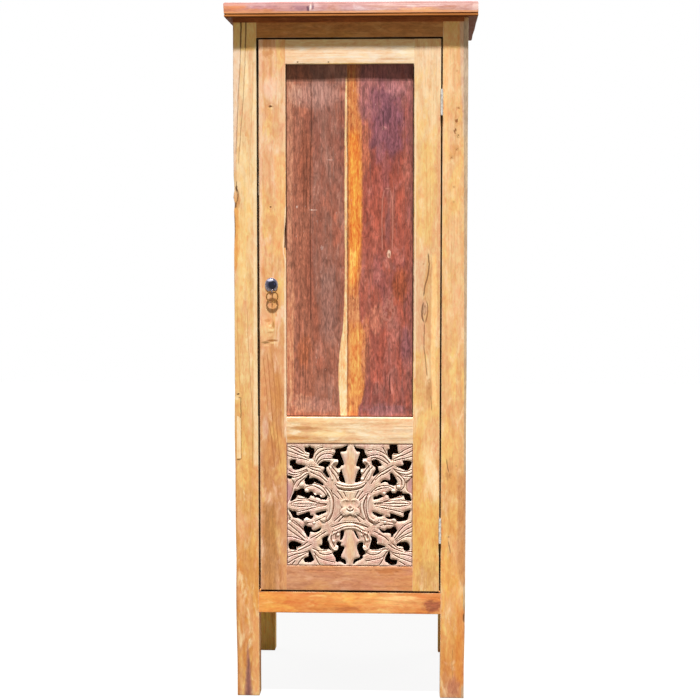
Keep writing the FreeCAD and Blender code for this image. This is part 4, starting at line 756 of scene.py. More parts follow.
finishes["rightPanelBoard"] = dict(
    grain="z", span=(740, 1647), faceY=-223 * mm, lineTint=(96, 46, 42), deep=(142, 84, 82), deepShare=0.5,
    pale=(210, 136, 118), paleShare=0.5, lines=0.16, streaks=0.5, fibres=0.6, checks=0.6, gloss=0.2,
    bump=0.5, blotches=0.6, blotchTint=(148, 76, 62), glows=0.35, glowTint=(206, 138, 126), mottle=0.46,
    crisp=0.34, overlays=3, silver=0.5, silverTint=(212, 146, 134), blush=0.5, blushTint=(192, 96, 74),
    sunny=0.4, sunnyTint=(160, 96, 98), flecks=0.65, fleckTint=(236, 184, 170),
    stops=[
        (0.0, (170, 98, 88)), (0.35, (186, 102, 82)), (0.7, (176, 90, 72)), (0.85, (162, 94, 94)),
        (1.0, (188, 126, 126))],
    bands=[
        band([(330, 60), (330, 420)],
             [(361, 60), (360, 98), (362, 130), (362.6, 180), (362, 230), (361, 270), (358.4, 300),
              (362, 326), (366.2, 346), (365, 380), (361.6, 402), (358, 414)], (216, 136, 78), 0.95,
             soft=1.5, ragged=2.4, fade=6),
        band([(347, 124), (348.6, 170), (349, 200), (349.4, 290)],
             [(357, 124), (361, 170), (361.4, 210), (356, 290)], (236, 144, 56), 0.8, soft=2.2, ragged=4,
             fade=14),
        band([(350, 150), (351, 190), (351, 240)], [(355, 150), (358, 190), (355.6, 240)], (246, 168, 72),
             0.45, soft=2, ragged=3, fade=16),
        band([(356, 60), (357, 90), (359, 122)], 375, (176, 112, 108), 0.7, soft=2.4, ragged=4, fade=12),
        band([(349.6, 246), (350, 290)], [(356.6, 246), (354, 290)], (250, 186, 96), 0.7),
        band(330, [(359, 292), (360, 326)], (206, 138, 96), 0.7, fade=8),
        band(351, [(362, 326), (361, 400)], (240, 168, 88), 0.6, soft=1.6),
        band([(347.4, 60), (347.2, 420)], [(348.8, 60), (348.6, 420)], (120, 70, 44), 0.5, soft=0.5),
        band([(409.6, 60), (409, 420)], 422, (136, 84, 76), 0.5)],
    spots=[
        spot(387, 122, 24, 50, (134, 84, 98), 0.75, 1.6), spot(386, 114, 6, 14, (104, 64, 74), 0.7, 1.6),
        spot(396, 90, 14, 10, (190, 128, 128), 0.5, 1.4), spot(400, 285, 11, 24, (164, 84, 52), 0.75, 1.2),
        spot(406, 346, 8, 26, (124, 78, 84), 0.7, 1.2), spot(365.6, 146, 6, 38, (208, 122, 84), 0.55, 1.6),
        spot(366, 345, 6, 38, (216, 138, 92), 0.5, 1.6), spot(376, 320, 9, 18, (214, 136, 110), 0.6, 1.6),
        spot(387.4, 188.6, 3.2, 0.8, (212, 146, 128), 0.55, 0.8, soft=0.5),
        spot(374, 96, 8, 14, (128, 78, 88), 0.5, 1.8), spot(384, 410, 28, 9, (156, 108, 112), 0.6, 1.6),
        spot(376, 200, 10, 40, (172, 88, 70), 0.5, 1.4), spot(388, 228, 4, 26, (134, 82, 80), 0.6, 1.2),
        spot(368, 360, 9, 30, (160, 92, 76), 0.5, 1.6),
        spot(389, 254, 2.4, 5, (236, 196, 170), 0.95, 0.8, soft=0.4),
        spot(389.4, 255, 1.2, 2.6, (160, 100, 76), 0.7, soft=0.5),
        spot(384, 128, 3.4, 2.4, (196, 138, 134), 0.5, 3.0)],
    knots=[
        spot(388.5, 312, 11, 20, (150, 84, 66), ringTint=(206, 140, 122), ringShare=0.5, count=3.0,
             ragged=1.2)],
    lineMarks=[
        lineMark([(382.4, 252), (382, 220), (382.4, 204), (384.2, 192), (386.6, 188.6)], (210, 144, 126), 0.9,
              0.6, dip=0.6, ragged=1.2),
        lineMark([(392.2, 252), (392.8, 220), (392.4, 202), (390.6, 192), (388.6, 188.4)], (210, 144, 126),
              0.9, 0.6, dip=0.6, ragged=1.2),
        lineMark([(390.4, 372), (389.6, 384), (390.6, 396)], (60, 28, 26), 1.0, 0.85),
        lineMark([(385, 366), (385.4, 382), (384.6, 392)], (84, 44, 40), 0.8, 0.7),
        lineMark([(399, 324), (399.8, 345), (398.6, 362)], (84, 46, 44), 0.7, 0.65),
        lineMark([(402, 130), (403, 160), (405, 168), (407.6, 160), (408, 120)], (100, 60, 62), 0.6, 0.6),
        lineMark([(398, 130), (399.4, 168)], (100, 60, 62), 0.5, 0.6),
        lineMark([(383, 110), (384, 132)], (84, 52, 58), 0.9, 0.6),
        lineMark([(352, 296), (355.6, 302)], (110, 66, 40), 1.0, 0.7)],
    # a dark strip along the foot where the panel meets the middle rail; painted shade along the edge beside the
    # stile and painted shadow across the top, under the top rail
    darkBoxes=[
        darkBox((-farX, -400, 700), (farX, 0, 743.6), (70, 38, 32), 0.8),
        darkBox((160.5, -400, 700), (farX, 0, 1700), share=0.9),
        darkBox((-farX, -400, 1604), (farX, 0, 1700), share=0.42)])
finishes["topBoard"] = dict(
    softGrain, blushTint=(206, 148, 150), sunnyTint=(226, 180, 160), grain="x", span=(-324, 324),
    faceY=-260 * mm, lineTint=(150, 92, 72), deep=(206, 148, 140), deepShare=0.5, pale=(222, 192, 194),
    paleShare=0.6, blotchTint=(184, 112, 82), glowTint=(228, 202, 204), flecks=0.6,
    fleckTint=(250, 238, 234), gloss=0.08, markDeep=12,
    stops=[
        (0.0, (222, 150, 108)), (0.1, (208, 150, 138)), (0.5, (208, 160, 160)), (1.0, (224, 182, 172))],
    spots=[
        spot(300, 7, 12, 6, (166, 122, 136), 0.65, 2.0), spot(262, 5, 22, 4, (184, 130, 140), 0.6, 2.0),
        spot(308, 9, 2.2, 3.4, (96, 68, 88), 0.85, 1.4), spot(312.8, 6, 1.6, 5, (104, 74, 96), 0.75, 1.2),
        spot(310.4, 7, 1.2, 5, (250, 238, 232), 0.8, 0.6, lean=-0.15),
        spot(390, 6, 26, 3, (196, 140, 120), 0.6, 2.0), spot(236, 7, 14, 4, (222, 140, 92), 0.7, 1.6),
        spot(420, 9, 24, 3, (246, 184, 130), 0.6, 1.6), spot(415, 4.2, 62, 3.0, (242, 210, 204), 0.55, 2.0),
        spot(412, 10.6, 60, 1.8, (230, 164, 108), 0.6, 1.6),
        spot(256, 10.4, 32, 2.0, (222, 144, 90), 0.55, 1.6), spot(476, 6, 5, 6, (236, 206, 196), 0.6, 1.4)],
    darkBoxes=[
        darkBox((-farX, -farX, 1700), (farX, farX, 1776), (234, 164, 104), 0.7),
        darkBox((-farX, -farX, 1700), (farX, farX, 1768.5), (206, 128, 58), 0.85),
        # painted shade in the quirk
        darkBox((-farX, -farX, 1769.4), (farX, farX, 1771.6), (146, 82, 22), 0.95),
        # a pale band under the worn upper arris: wear, and painted highlight along the arris
        darkBox((-farX, -farX, 1791), (farX, farX, 1797), (222, 178, 172), 0.45),
        darkBox((-farX, -farX, 1796), (farX, -250, 1900), (146, 98, 94), 0.65),
        # painted shade on the underside of the overhang
        darkBox((-farX, -farX, 1700), (farX, farX, 1764.2), (104, 58, 28), 0.94),
        # the whole top face multiplied darker: partly a worn brown, partly painted shade that offsets the
        # strong light from above
        darkBox((-farX, -252, 1797), (farX, farX, 1900), (132, 140, 132), 1.0, blend="MULTIPLY")])
finishes["cornice"] = dict(
    softGrain, blushTint=(140, 74, 42), sunnyTint=(178, 100, 44), grain="x", span=(-300, 300),
    faceY=-242 * mm, lineTint=(80, 36, 14), deep=(140, 76, 40), deepShare=0.6,
    stops=[(0.0, (164, 92, 44)), (1.0, (172, 98, 50))], blotchTint=(120, 62, 30), glowTint=(186, 112, 62))
# a darker brown, partly its own colour and partly painted shade under the overhanging top; its box is painted
# shade on the faces in the gap above the door
finishes["caseTopRail"] = dict(
    softGrain, blushTint=(186, 122, 70), sunnyTint=(202, 146, 76), grain="x", span=(-240, 236),
    lineTint=(130, 80, 36), deep=(176, 114, 56), deepShare=0.5,
    stops=[(0.0, (196, 134, 70)), (1.0, (196, 138, 82))], blotchTint=(160, 100, 50),
    glowTint=(206, 150, 92), streaks=0.35,
    darkBoxes=[darkBox((-farX, -237, 1600), (farX, -224, 1714), (30, 19, 10))])
finishes["caseBottomRail"] = dict(
    softGrain, blushTint=(236, 150, 90), sunnyTint=(254, 190, 96), grain="x", span=(-240, 236),
    lineTint=(186, 106, 52), deep=(226, 144, 76), deepShare=0.55, streaks=0.4, blotchTint=(224, 130, 60),
    # its box is painted shade on the rail's faces in the gap under the door
    glowTint=(254, 200, 126), darkBoxes=[darkBox((-farX, -237, 279.5), (farX, -224, 400), (60, 36, 18))],
    stops=[
        (0.0, (247, 172, 88)), (0.3, (236, 152, 82)), (0.55, (250, 182, 106)), (0.75, (252, 192, 122)),
        (1.0, (226, 144, 84))],
    spots=[
        spot(432, 606, 13, 8, (164, 88, 66), 0.85, 1.4), spot(345, 609, 22, 3, (190, 112, 66), 0.7, 1.8),
        spot(300, 603, 20, 5, (222, 130, 70), 0.6, 1.8), spot(400, 598, 24, 3, (255, 206, 140), 0.7)])
finishes["carving"] = dict(
    softGrain, blushTint=(220, 176, 166), sunnyTint=(236, 204, 168), grain="z", span=(350, 672),
    faceY=-236 * mm, lineTint=(170, 120, 94), deep=(212, 170, 146), deepShare=0.4,
    stops=[(0.0, (230, 196, 178)), (1.0, (232, 202, 182))], blotchTint=(208, 162, 142),
    # dark in the hollows is painted shade, pale on the rims painted highlight
    glowTint=(240, 216, 196), hollowTint=(116, 76, 54), hollowShare=0.92, paintedHighlightTint=(252, 238, 222),
    paintedHighlightShare=0.62, mottle=0.34,
    # painted shade under the middle rail, along the other borders against the frame and on the walls of the
    # openings
    darkBoxes=[
        darkBox((-farX, -400, 669.8), (farX, 0, farZ), (104, 60, 46), 0.8),
        darkBox((-farX, -400, 0), (farX, 0, 352), (136, 84, 62), 0.7),
        darkBox((-farX, -400, 0), (-163.6, 0, farZ), (126, 74, 74), 0.8),
        darkBox((160.2, -400, 0), (farX, 0, farZ), (136, 88, 78), 0.75),
        darkBox((-farX, -233.8, 0), (farX, -216.4, farZ), (44, 27, 18), 0.95)],
    spots=[
        # the rosette: a painted highlight on its lower rim, painted shade under its upper rim, in the cut below
        # the button and along its lower edge
        spot(349.6, 511.6, 7.5, 2.6, (250, 232, 210), 0.7, 0.8),
        spot(349.6, 500.8, 6.6, 1.5, (160, 118, 92), 0.8), spot(350.2, 509.6, 3.2, 0.9, (92, 62, 44), 0.9),
        spot(349, 515, 8, 1.0, (96, 66, 48), 0.85), spot(350, 505, 4, 2.4, (228, 186, 168), 0.7),
        spot(350.8, 466, 6.5, 20, (236, 190, 142), 0.7), spot(350.2, 548, 6, 18, (234, 192, 148), 0.7),
        spot(287.5, 492, 7, 15, (196, 142, 148), 0.8, 0.8),
        spot(411.6, 487, 6, 14, (198, 146, 148), 0.8, 0.8), spot(290, 472, 8, 6, (214, 166, 166), 0.6),
        spot(326, 456, 9, 5, (220, 176, 172), 0.6), spot(374, 455, 8, 5, (222, 180, 174), 0.6),
        spot(294, 538, 10, 4, (222, 170, 164), 0.7), spot(328, 560, 14, 5, (216, 164, 150), 0.7),
        spot(378, 560, 14, 5, (216, 166, 152), 0.7), spot(405, 528, 10, 6, (220, 170, 158), 0.7),
        spot(411, 555, 9, 8, (222, 176, 166), 0.6), spot(288, 556, 7, 8, (222, 176, 166), 0.6),
        spot(408, 450, 9, 6, (222, 172, 154), 0.7)])
finishes["patch"] = dict(
    softGrain, blushTint=(250, 218, 180), sunnyTint=(254, 226, 164), grain="z", span=(632, 792),
    lineTint=(208, 160, 108), deep=(246, 212, 164), deepShare=0.4,
    stops=[(0.0, (250, 218, 168)), (1.0, (252, 226, 180))], blotchTint=(240, 200, 146),
    glowTint=(255, 234, 194))
finishes["backPost"] = dict(
    softGrain, grain="z", span=(0, 1763), lineTint=(150, 98, 54), deep=(230, 170, 96), deepShare=0.3,
    streaks=0.4, blotchTint=(232, 168, 84), glowTint=(255, 206, 122),
    # the lightest stops at the foot are painted light, offsetting the shade under the case
    stops=[
        (0.0, (255, 206, 104)), (0.13, (255, 206, 104)), (0.3, (222, 168, 108)), (1.0, (232, 180, 122))])
finishes["sideRail"] = dict(
    softGrain, grain="y", span=(-240, 252), lineTint=goldLine, deep=(224, 166, 102), deepShare=0.5,
    stops=[(0.0, (240, 190, 128)), (1.0, (234, 182, 120))], streaks=0.35, blotchTint=(220, 156, 92),
    glowTint=(248, 208, 152))
finishes["sidePanel"] = dict(
    softGrain, blushTint=(196, 132, 112), sunnyTint=(190, 128, 84), grain="z", span=(290, 1763),
    lineTint=(120, 66, 48), deep=(160, 100, 78), deepShare=0.5,
    stops=[(0.0, (190, 130, 102)), (0.5, (182, 118, 92)), (1.0, (192, 134, 112))], pale=(208, 152, 124),
    paleShare=0.5, lines=0.2, streaks=0.45, fibres=0.5, checks=0.5, blotchTint=(156, 92, 68),
    glowTint=(206, 150, 128), mottle=0.1, flecks=0.2, fleckTint=(214, 176, 156))
finishes["back"] = dict(
    softGrain, blushTint=(206, 146, 108), sunnyTint=(214, 160, 96), grain="z", span=(224, 1763),
    lineTint=(140, 88, 54), deep=(188, 130, 84), deepShare=0.5,
    stops=[(0.0, (206, 150, 102)), (1.0, (212, 158, 110))], lines=0.3, streaks=0.45, checks=0.5, mottle=0.1,
    blotchTint=(184, 122, 76), glowTint=(222, 172, 124))
finishes["inside"] = dict(
    softGrain, blushTint=(212, 156, 116), sunnyTint=(220, 168, 104), grain="x", span=(-290, 290),
    lineTint=(160, 108, 66), deep=(196, 142, 92), deepShare=0.5,
    stops=[(0.0, (214, 162, 110)), (1.0, (218, 166, 114))], mottle=0.12, blotchTint=(196, 138, 86),
    glowTint=(226, 180, 128))
backTints = {"backLeft": (196, 140, 96), "backMiddle": (214, 162, 116), "backRight": (204, 144, 92)}
for name, colour in backTints.items():
    finishes[name] = dict(
        finishes["back"], stops=[(0.0, colour), (1.0, [c + 8 for c in colour])],
        darkBoxes=[darkBox((x - 1.4, -farX, 0), (x + 1.4, farX, farZ), share=0.85) for x in (-81, 77)])
for name, dark in (("topMiddle", (124, 120, 108)), ("topRear", (140, 140, 126))):
    # the two boards behind, with their seams
    boxes = finishes["topBoard"]["darkBoxes"]
    seams = [darkBox((-farX, y - 0.9, 1790), (farX, y + 0.9, 1900)) for y in (-80, 95)]
    finishes[name] = dict(finishes["topBoard"], lines=0.3, streaks=0.5, fibres=0.5, spots=[],
                          darkBoxes=boxes[:-1] + [dict(boxes[-1], tint=dark)] + seams)
woods = {name: boardFinish(name, p, seed) for seed, (name, p) in enumerate(finishes.items(), 1)}

metals = {
    "hingeSteel": dict(tint=(226, 222, 214), dull=(176, 168, 158), grit=180, rough=0.32, bump=0.1, metal=0.9),
    "railSteel": dict(tint=(206, 204, 200), dull=(184, 182, 178), grit=90, rough=0.25, bump=0.03, metal=1.0),
    "catchPlastic": dict(tint=(206, 196, 180), dull=(196, 186, 170), grit=400, rough=0.5, bump=0.05, metal=0.0),
    "magnetBlack": dict(tint=(70, 68, 66), dull=(52, 50, 50), grit=200, rough=0.6, bump=0.1, metal=0.2),
    "pullIron": dict(
        tint=(150, 142, 150), dull=(104, 98, 110), grit=220, rough=0.36, bump=0.2, metal=0.5, faceY=-243 * mm,
        spots=[
            spot(271.4, 283.8, 5.7, 5.7, (74, 74, 96), 1.0, 0.1, 0.16),
            spot(272.2, 284.8, 4.4, 4.6, (16, 16, 36), 1.0, 0.2, 0.2),
            # a painted highlight on the upper left of the dome
            spot(269.6, 280.2, 4.2, 1.8, (186, 184, 204), 0.8, 0.4),
            spot(274.6, 284.0, 0.9, 1.1, (60, 66, 112), 0.7, 0.3)]),
    "ringBronze": dict(tint=(150, 104, 40), dull=(98, 62, 24), grit=260, rough=0.45, bump=0.25, metal=0.5),
}
steels = {name: metalFinish(name, p) for name, p in metals.items()}
print("finishes:", len(woods), "woods,", len(steels), "metals")


# boards
def startBox(name, low, high):
    bpy.ops.object.select_all(action="DESELECT")
    bpy.ops.mesh.primitive_cube_add(size=1, location=(low + high) / 2)
    piece = bpy.context.object
    piece.name = name
    piece.scale = high - low
    bpy.ops.object.transform_apply(location=True, rotation=True, scale=True)
    bpy.ops.object.mode_set(mode="EDIT")
    bpy.ops.mesh.select_mode(type="EDGE")
    return piece


def selectEdges(piece, chosen):
    bpy.ops.mesh.select_mode(type="EDGE")
    bpy.ops.mesh.select_all(action="DESELECT")
    mesh = bmesh.from_edit_mesh(piece.data)
    for edge in mesh.edges:
        edge.select_set(chosen(edge))
    mesh.select_flush_mode()
    bmesh.update_edit_mesh(piece.data)


def subdivideAlong(piece, axis, cuts):
    def along(edge):
        run = edge.verts[1].co - edge.verts[0].co
        return abs(run[axis]) > 0.99 * run.length
    selectEdges(piece, along)
    bpy.ops.mesh.subdivide(number_cuts=cuts)


def markEdges(piece):
    # the bevel is still selected: its middle row is the arris
    mesh = bmesh.from_edit_mesh(piece.data)
    layer = mesh.verts.layers.float.new("edge")
    for vert in mesh.verts:
        vert[layer] = 1.0 if all(face.select for face in vert.link_faces) else 0.0
    bmesh.update_edit_mesh(piece.data)


def waver(piece, depth, size):
    cloud = bpy.data.textures.new(piece.name + "Waver", "CLOUDS")
    cloud.noise_scale = size
    cloud.noise_depth = 2
    modifier = piece.modifiers.new("waver", "DISPLACE")
    modifier.texture = cloud
    modifier.texture_coords = "LOCAL"
    modifier.strength = depth
    modifier.mid_level = 0.5
    bpy.ops.object.modifier_apply(modifier="waver")


def settle(piece, p):
    # every piece gets its finish and its body, and the nodes it stands for are hidden
    bpy.ops.object.shade_smooth_by_angle(angle=math.radians(32))
    piece.data.materials.append(p["finish"])
    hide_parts(*p["nodes"])
    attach(piece, p["body"])


def firmFaces(piece):
    # flat faces stay flat beside a rounded arris
    bpy.ops.object.modifier_add(type="WEIGHTED_NORMAL")
    piece.modifiers[-1].keep_sharp = True
    bpy.ops.object.modifier_apply(modifier=piece.modifiers[-1].name)


boardLook = {"step": 30 * mm, "waver": 0.9 * mm, "waverSize": 0.16, "overlap": 1.5 * mm,
             "sharp": math.radians(50), "nickBack": -225 * mm}


def wearNicks(piece, nicks):
    # places where the arris is chipped or swollen, read off the photo
    for mark in nicks:
        (u, v), (wide, tall) = mark["at"], mark["half"]
        middle = onFace(u, v, doorFace)
        reach = onFace(u + wide, 0, doorFace).x - middle.x, middle.z - onFace(u, v + tall, doorFace).z
        for vert in piece.data.vertices:
            away = ((vert.co.x - middle.x) / reach[0]) ** 2 + ((vert.co.z - middle.z) / reach[1]) ** 2
            if away < 1 and vert.co.y < boardLook["nickBack"]:
                vert.co += Vector(mark["push"]) * mm * (1 - away) ** 1.5


def makeBoard(node, p):
    low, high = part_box(node)
    low.y -= p.get("forward", 0) * mm
    if "between" in p:
        axis, before, after = p["between"]
        low[axis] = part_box(before)[1][axis] - boardLook["overlap"]
        high[axis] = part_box(after)[0][axis] + boardLook["overlap"]
    piece = startBox(node + "Board", low, high)
    for axis in range(3):
        cuts = int((high[axis] - low[axis]) / p.get("step", boardLook["step"]))
        if cuts:
            subdivideAlong(piece, axis, cuts)
    bpy.ops.mesh.select_all(action="DESELECT")
    bpy.ops.mesh.edges_select_sharp(sharpness=boardLook["sharp"])
    bpy.ops.mesh.bevel(offset=p["round"] * mm, segments=2, affect="EDGES")
    markEdges(piece)
    bpy.ops.object.mode_set(mode="OBJECT")
    if "taper" in p:
        taperFoot(piece, p["taper"])
    waver(piece, p.get("waver", boardLook["waver"]), boardLook["waverSize"])
    wearNicks(piece, p.get("nicks", []))
    settle(piece, {"nodes": [node], **p})
    firmFaces(piece)


def taperFoot(piece, p):
    # below the case the outer faces lean in
    for vert in piece.data.vertices:
        drop = max(0.0, (p["from"] * mm - vert.co.z) / (p["from"] * mm))
        for axis, side in p["sides"]:
            if vert.co[axis] * side > p["clear"][axis] * mm:
                vert.co[axis] -= side * drop * p["lean"] * mm


def footOf(x, y):
    return {"from": 224.5, "lean": 4, "sides": ((0, x), (1, y)), "clear": (298, 234 if y < 0 else 248)}


def nick(u, v, wide, tall, *push):
    return dict(at=(u, v), half=(wide, tall), push=push)


postBase = {"body": "carcase", "slot": "post_wood", "round": 2.5}
railBase = {"body": "carcase", "slot": "rail_wood", "round": 1.6}
doorBase = {"body": "door", "slot": "door_wood", "round": 1.8}
frontPosts = (0, "front_left_post", "front_right_post")
rearPosts = (0, "rear_left_post", "rear_right_post")
stiles = (0, "door_left_stile", "door_right_stile")

leftPostNicks = [
    nick(233.5, 187, 5, 5, 3.5, 2, 0), nick(233.5, 197, 3, 5, -1.2, 0, 0), nick(233.5, 206, 4.5, 5, 3.2, 2, 0),
    nick(234, 230, 3, 22, 1.6, 1, 0), nick(235, 430, 3, 40, -1.4, 0, 0), nick(236, 560, 3, 30, 1.2, 0, 0),
]
rightPostNicks = [
    nick(465, 617, 4, 9, -4.5, 2, 0), nick(466, 30, 3, 20, -1.6, 1.5, 0),
    nick(466, 190, 3, 14, 1.2, 0, 0), nick(466, 300, 3, 16, 1.4, 0, 0),
]
leftStileNicks = [
    nick(287, 236, 5, 17, -4.6, 1.5, 0), nick(270, 327, 9, 7, 0, -1.6, 0),
    nick(263, 326, 4, 4, 0, -1.0, 0), nick(268, 341, 11, 2.6, 0, 1.4, 0),
]
boards = {
    "front_left_post": dict(
        postBase, finish=woods["leftPost"], taper=footOf(-1, -1), step=10 * mm, nicks=leftPostNicks),
    "front_right_post": dict(
        postBase, finish=woods["rightPost"], taper=footOf(1, -1), step=10 * mm, nicks=rightPostNicks),
    "rear_left_post": dict(postBase, finish=woods["backPost"], taper=footOf(-1, 1)),
    "rear_right_post": dict(postBase, finish=woods["backPost"], taper=footOf(1, 1)),
    "front_top_rail": dict(railBase, finish=woods["caseTopRail"], between=frontPosts),
    "front_bottom_rail": dict(railBase, finish=woods["caseBottomRail"], between=frontPosts),
    "rear_top_rail": dict(railBase, finish=woods["inside"], between=rearPosts),
    "rear_bottom_rail": dict(railBase, finish=woods["inside"], between=rearPosts),
    "door_left_stile": dict(doorBase, finish=woods["leftStile"], step=6 * mm, nicks=leftStileNicks),
    "door_right_stile": dict(doorBase, finish=woods["rightStile"]),
    "door_top_rail": dict(doorBase, finish=woods["doorTopRail"], between=stiles),
    "door_middle_rail": dict(doorBase, finish=woods["doorMiddleRail"], between=stiles, round=3.0),
    "door_bottom_rail": dict(doorBase, finish=woods["doorBottomRail"], between=stiles),
}
for side in ("left", "right"):
    boards[f"door_{side}_panel_board"] = dict(
        body="door", slot=f"{side}_panel_wood", finish=woods[side + "PanelBoard"], round=1.2, step=14 * mm,
        waver=3.2 * mm, forward=4.2)
    for level in ("top", "middle", "bottom"):
        boards[f"{side}_side_{level}_rail"] = dict(
            railBase, finish=woods["sideRail"], between=(1, f"front_{side}_post", f"rear_{side}_post"))
for node, p in boards.items():
    makeBoard(node, p)
print("boards:", len(boards))


# the plank top: a quirk and bead run round its front and ends, and the upper arris is worn round
plankTop = {
    "quirkLow": 1769 * mm, "quirkHigh": 1772 * mm, "quirkDeep": 4 * mm, "bead": 2.2 * mm, "worn": 5.0 * mm,
    "step": 22 * mm, "waver": 2.2 * mm, "waverSize": 0.12,
    "sawnReach": 8 * mm, "sawnFoot": 5.0 * mm, "sawnLess": 2.5 * mm,    # the left end is out of square
}


def makePlank(node, front, finish):
    p = plankTop
    low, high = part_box(node)
    piece = startBox(node + "Plank", low, high)

    def sidesOf(spot):
        return (abs(spot.x - low.x) < touching, abs(spot.x - high.x) < touching,
                front and abs(spot.y - low.y) < touching)

    def roundAlong(level, reach):
        def chosen(edge):
            ends = [vert.co for vert in edge.verts]
            return all(abs(end.z - level) < touching for end in ends) and all(
                any(sidesOf(spot)) for spot in (*ends, (ends[0] + ends[1]) / 2))
        selectEdges(piece, chosen)
        bpy.ops.mesh.bevel(offset=reach, segments=3, affect="EDGES", profile=0.5)

    for axis in (0, 1):
        subdivideAlong(piece, axis, int((high[axis] - low[axis]) / p["step"]))
    for level in (p["quirkLow"], p["quirkHigh"]):
        bpy.ops.mesh.select_all(action="SELECT")
        bpy.ops.mesh.bisect(plane_co=(0, 0, level), plane_no=(0, 0, 1))
    # the quirk is pushed in
    bpy.ops.mesh.select_mode(type="FACE")
    bpy.ops.mesh.select_all(action="DESELECT")
    mesh = bmesh.from_edit_mesh(piece.data)
    for face in mesh.faces:
        middle = face.calc_center_median()
        face.select_set(p["quirkLow"] < middle.z < p["quirkHigh"] and any(sidesOf(middle)))
    bmesh.update_edit_mesh(piece.data)
    bpy.ops.mesh.extrude_region_move()
    mesh = bmesh.from_edit_mesh(piece.data)
    for vert in mesh.verts:
        if vert.select:
            left, right, ahead = sidesOf(vert.co)
            vert.co += Vector((left - right, ahead, 0)) * p["quirkDeep"]
    bmesh.update_edit_mesh(piece.data)
    roundAlong(high.z, p["worn"])
    roundAlong(low.z, p["bead"])
    bpy.ops.object.mode_set(mode="OBJECT")
    waver(piece, p["waver"], p["waverSize"])
    for vert in piece.data.vertices:
        if vert.co.x < low.x + p["sawnReach"]:
            vert.co.x += p["sawnFoot"] - p["sawnLess"] * (vert.co.z - low.z) / (high.z - low.z)
    settle(piece, dict(nodes=[node], slot="top_wood", body="carcase", finish=woods[finish]))


for node, finish in (
        ("top_front_board", "topBoard"), ("top_middle_board", "topMiddle"), ("top_rear_board", "topRear")):
    makePlank(node, node == "top_front_board", finish)
print("plank top")
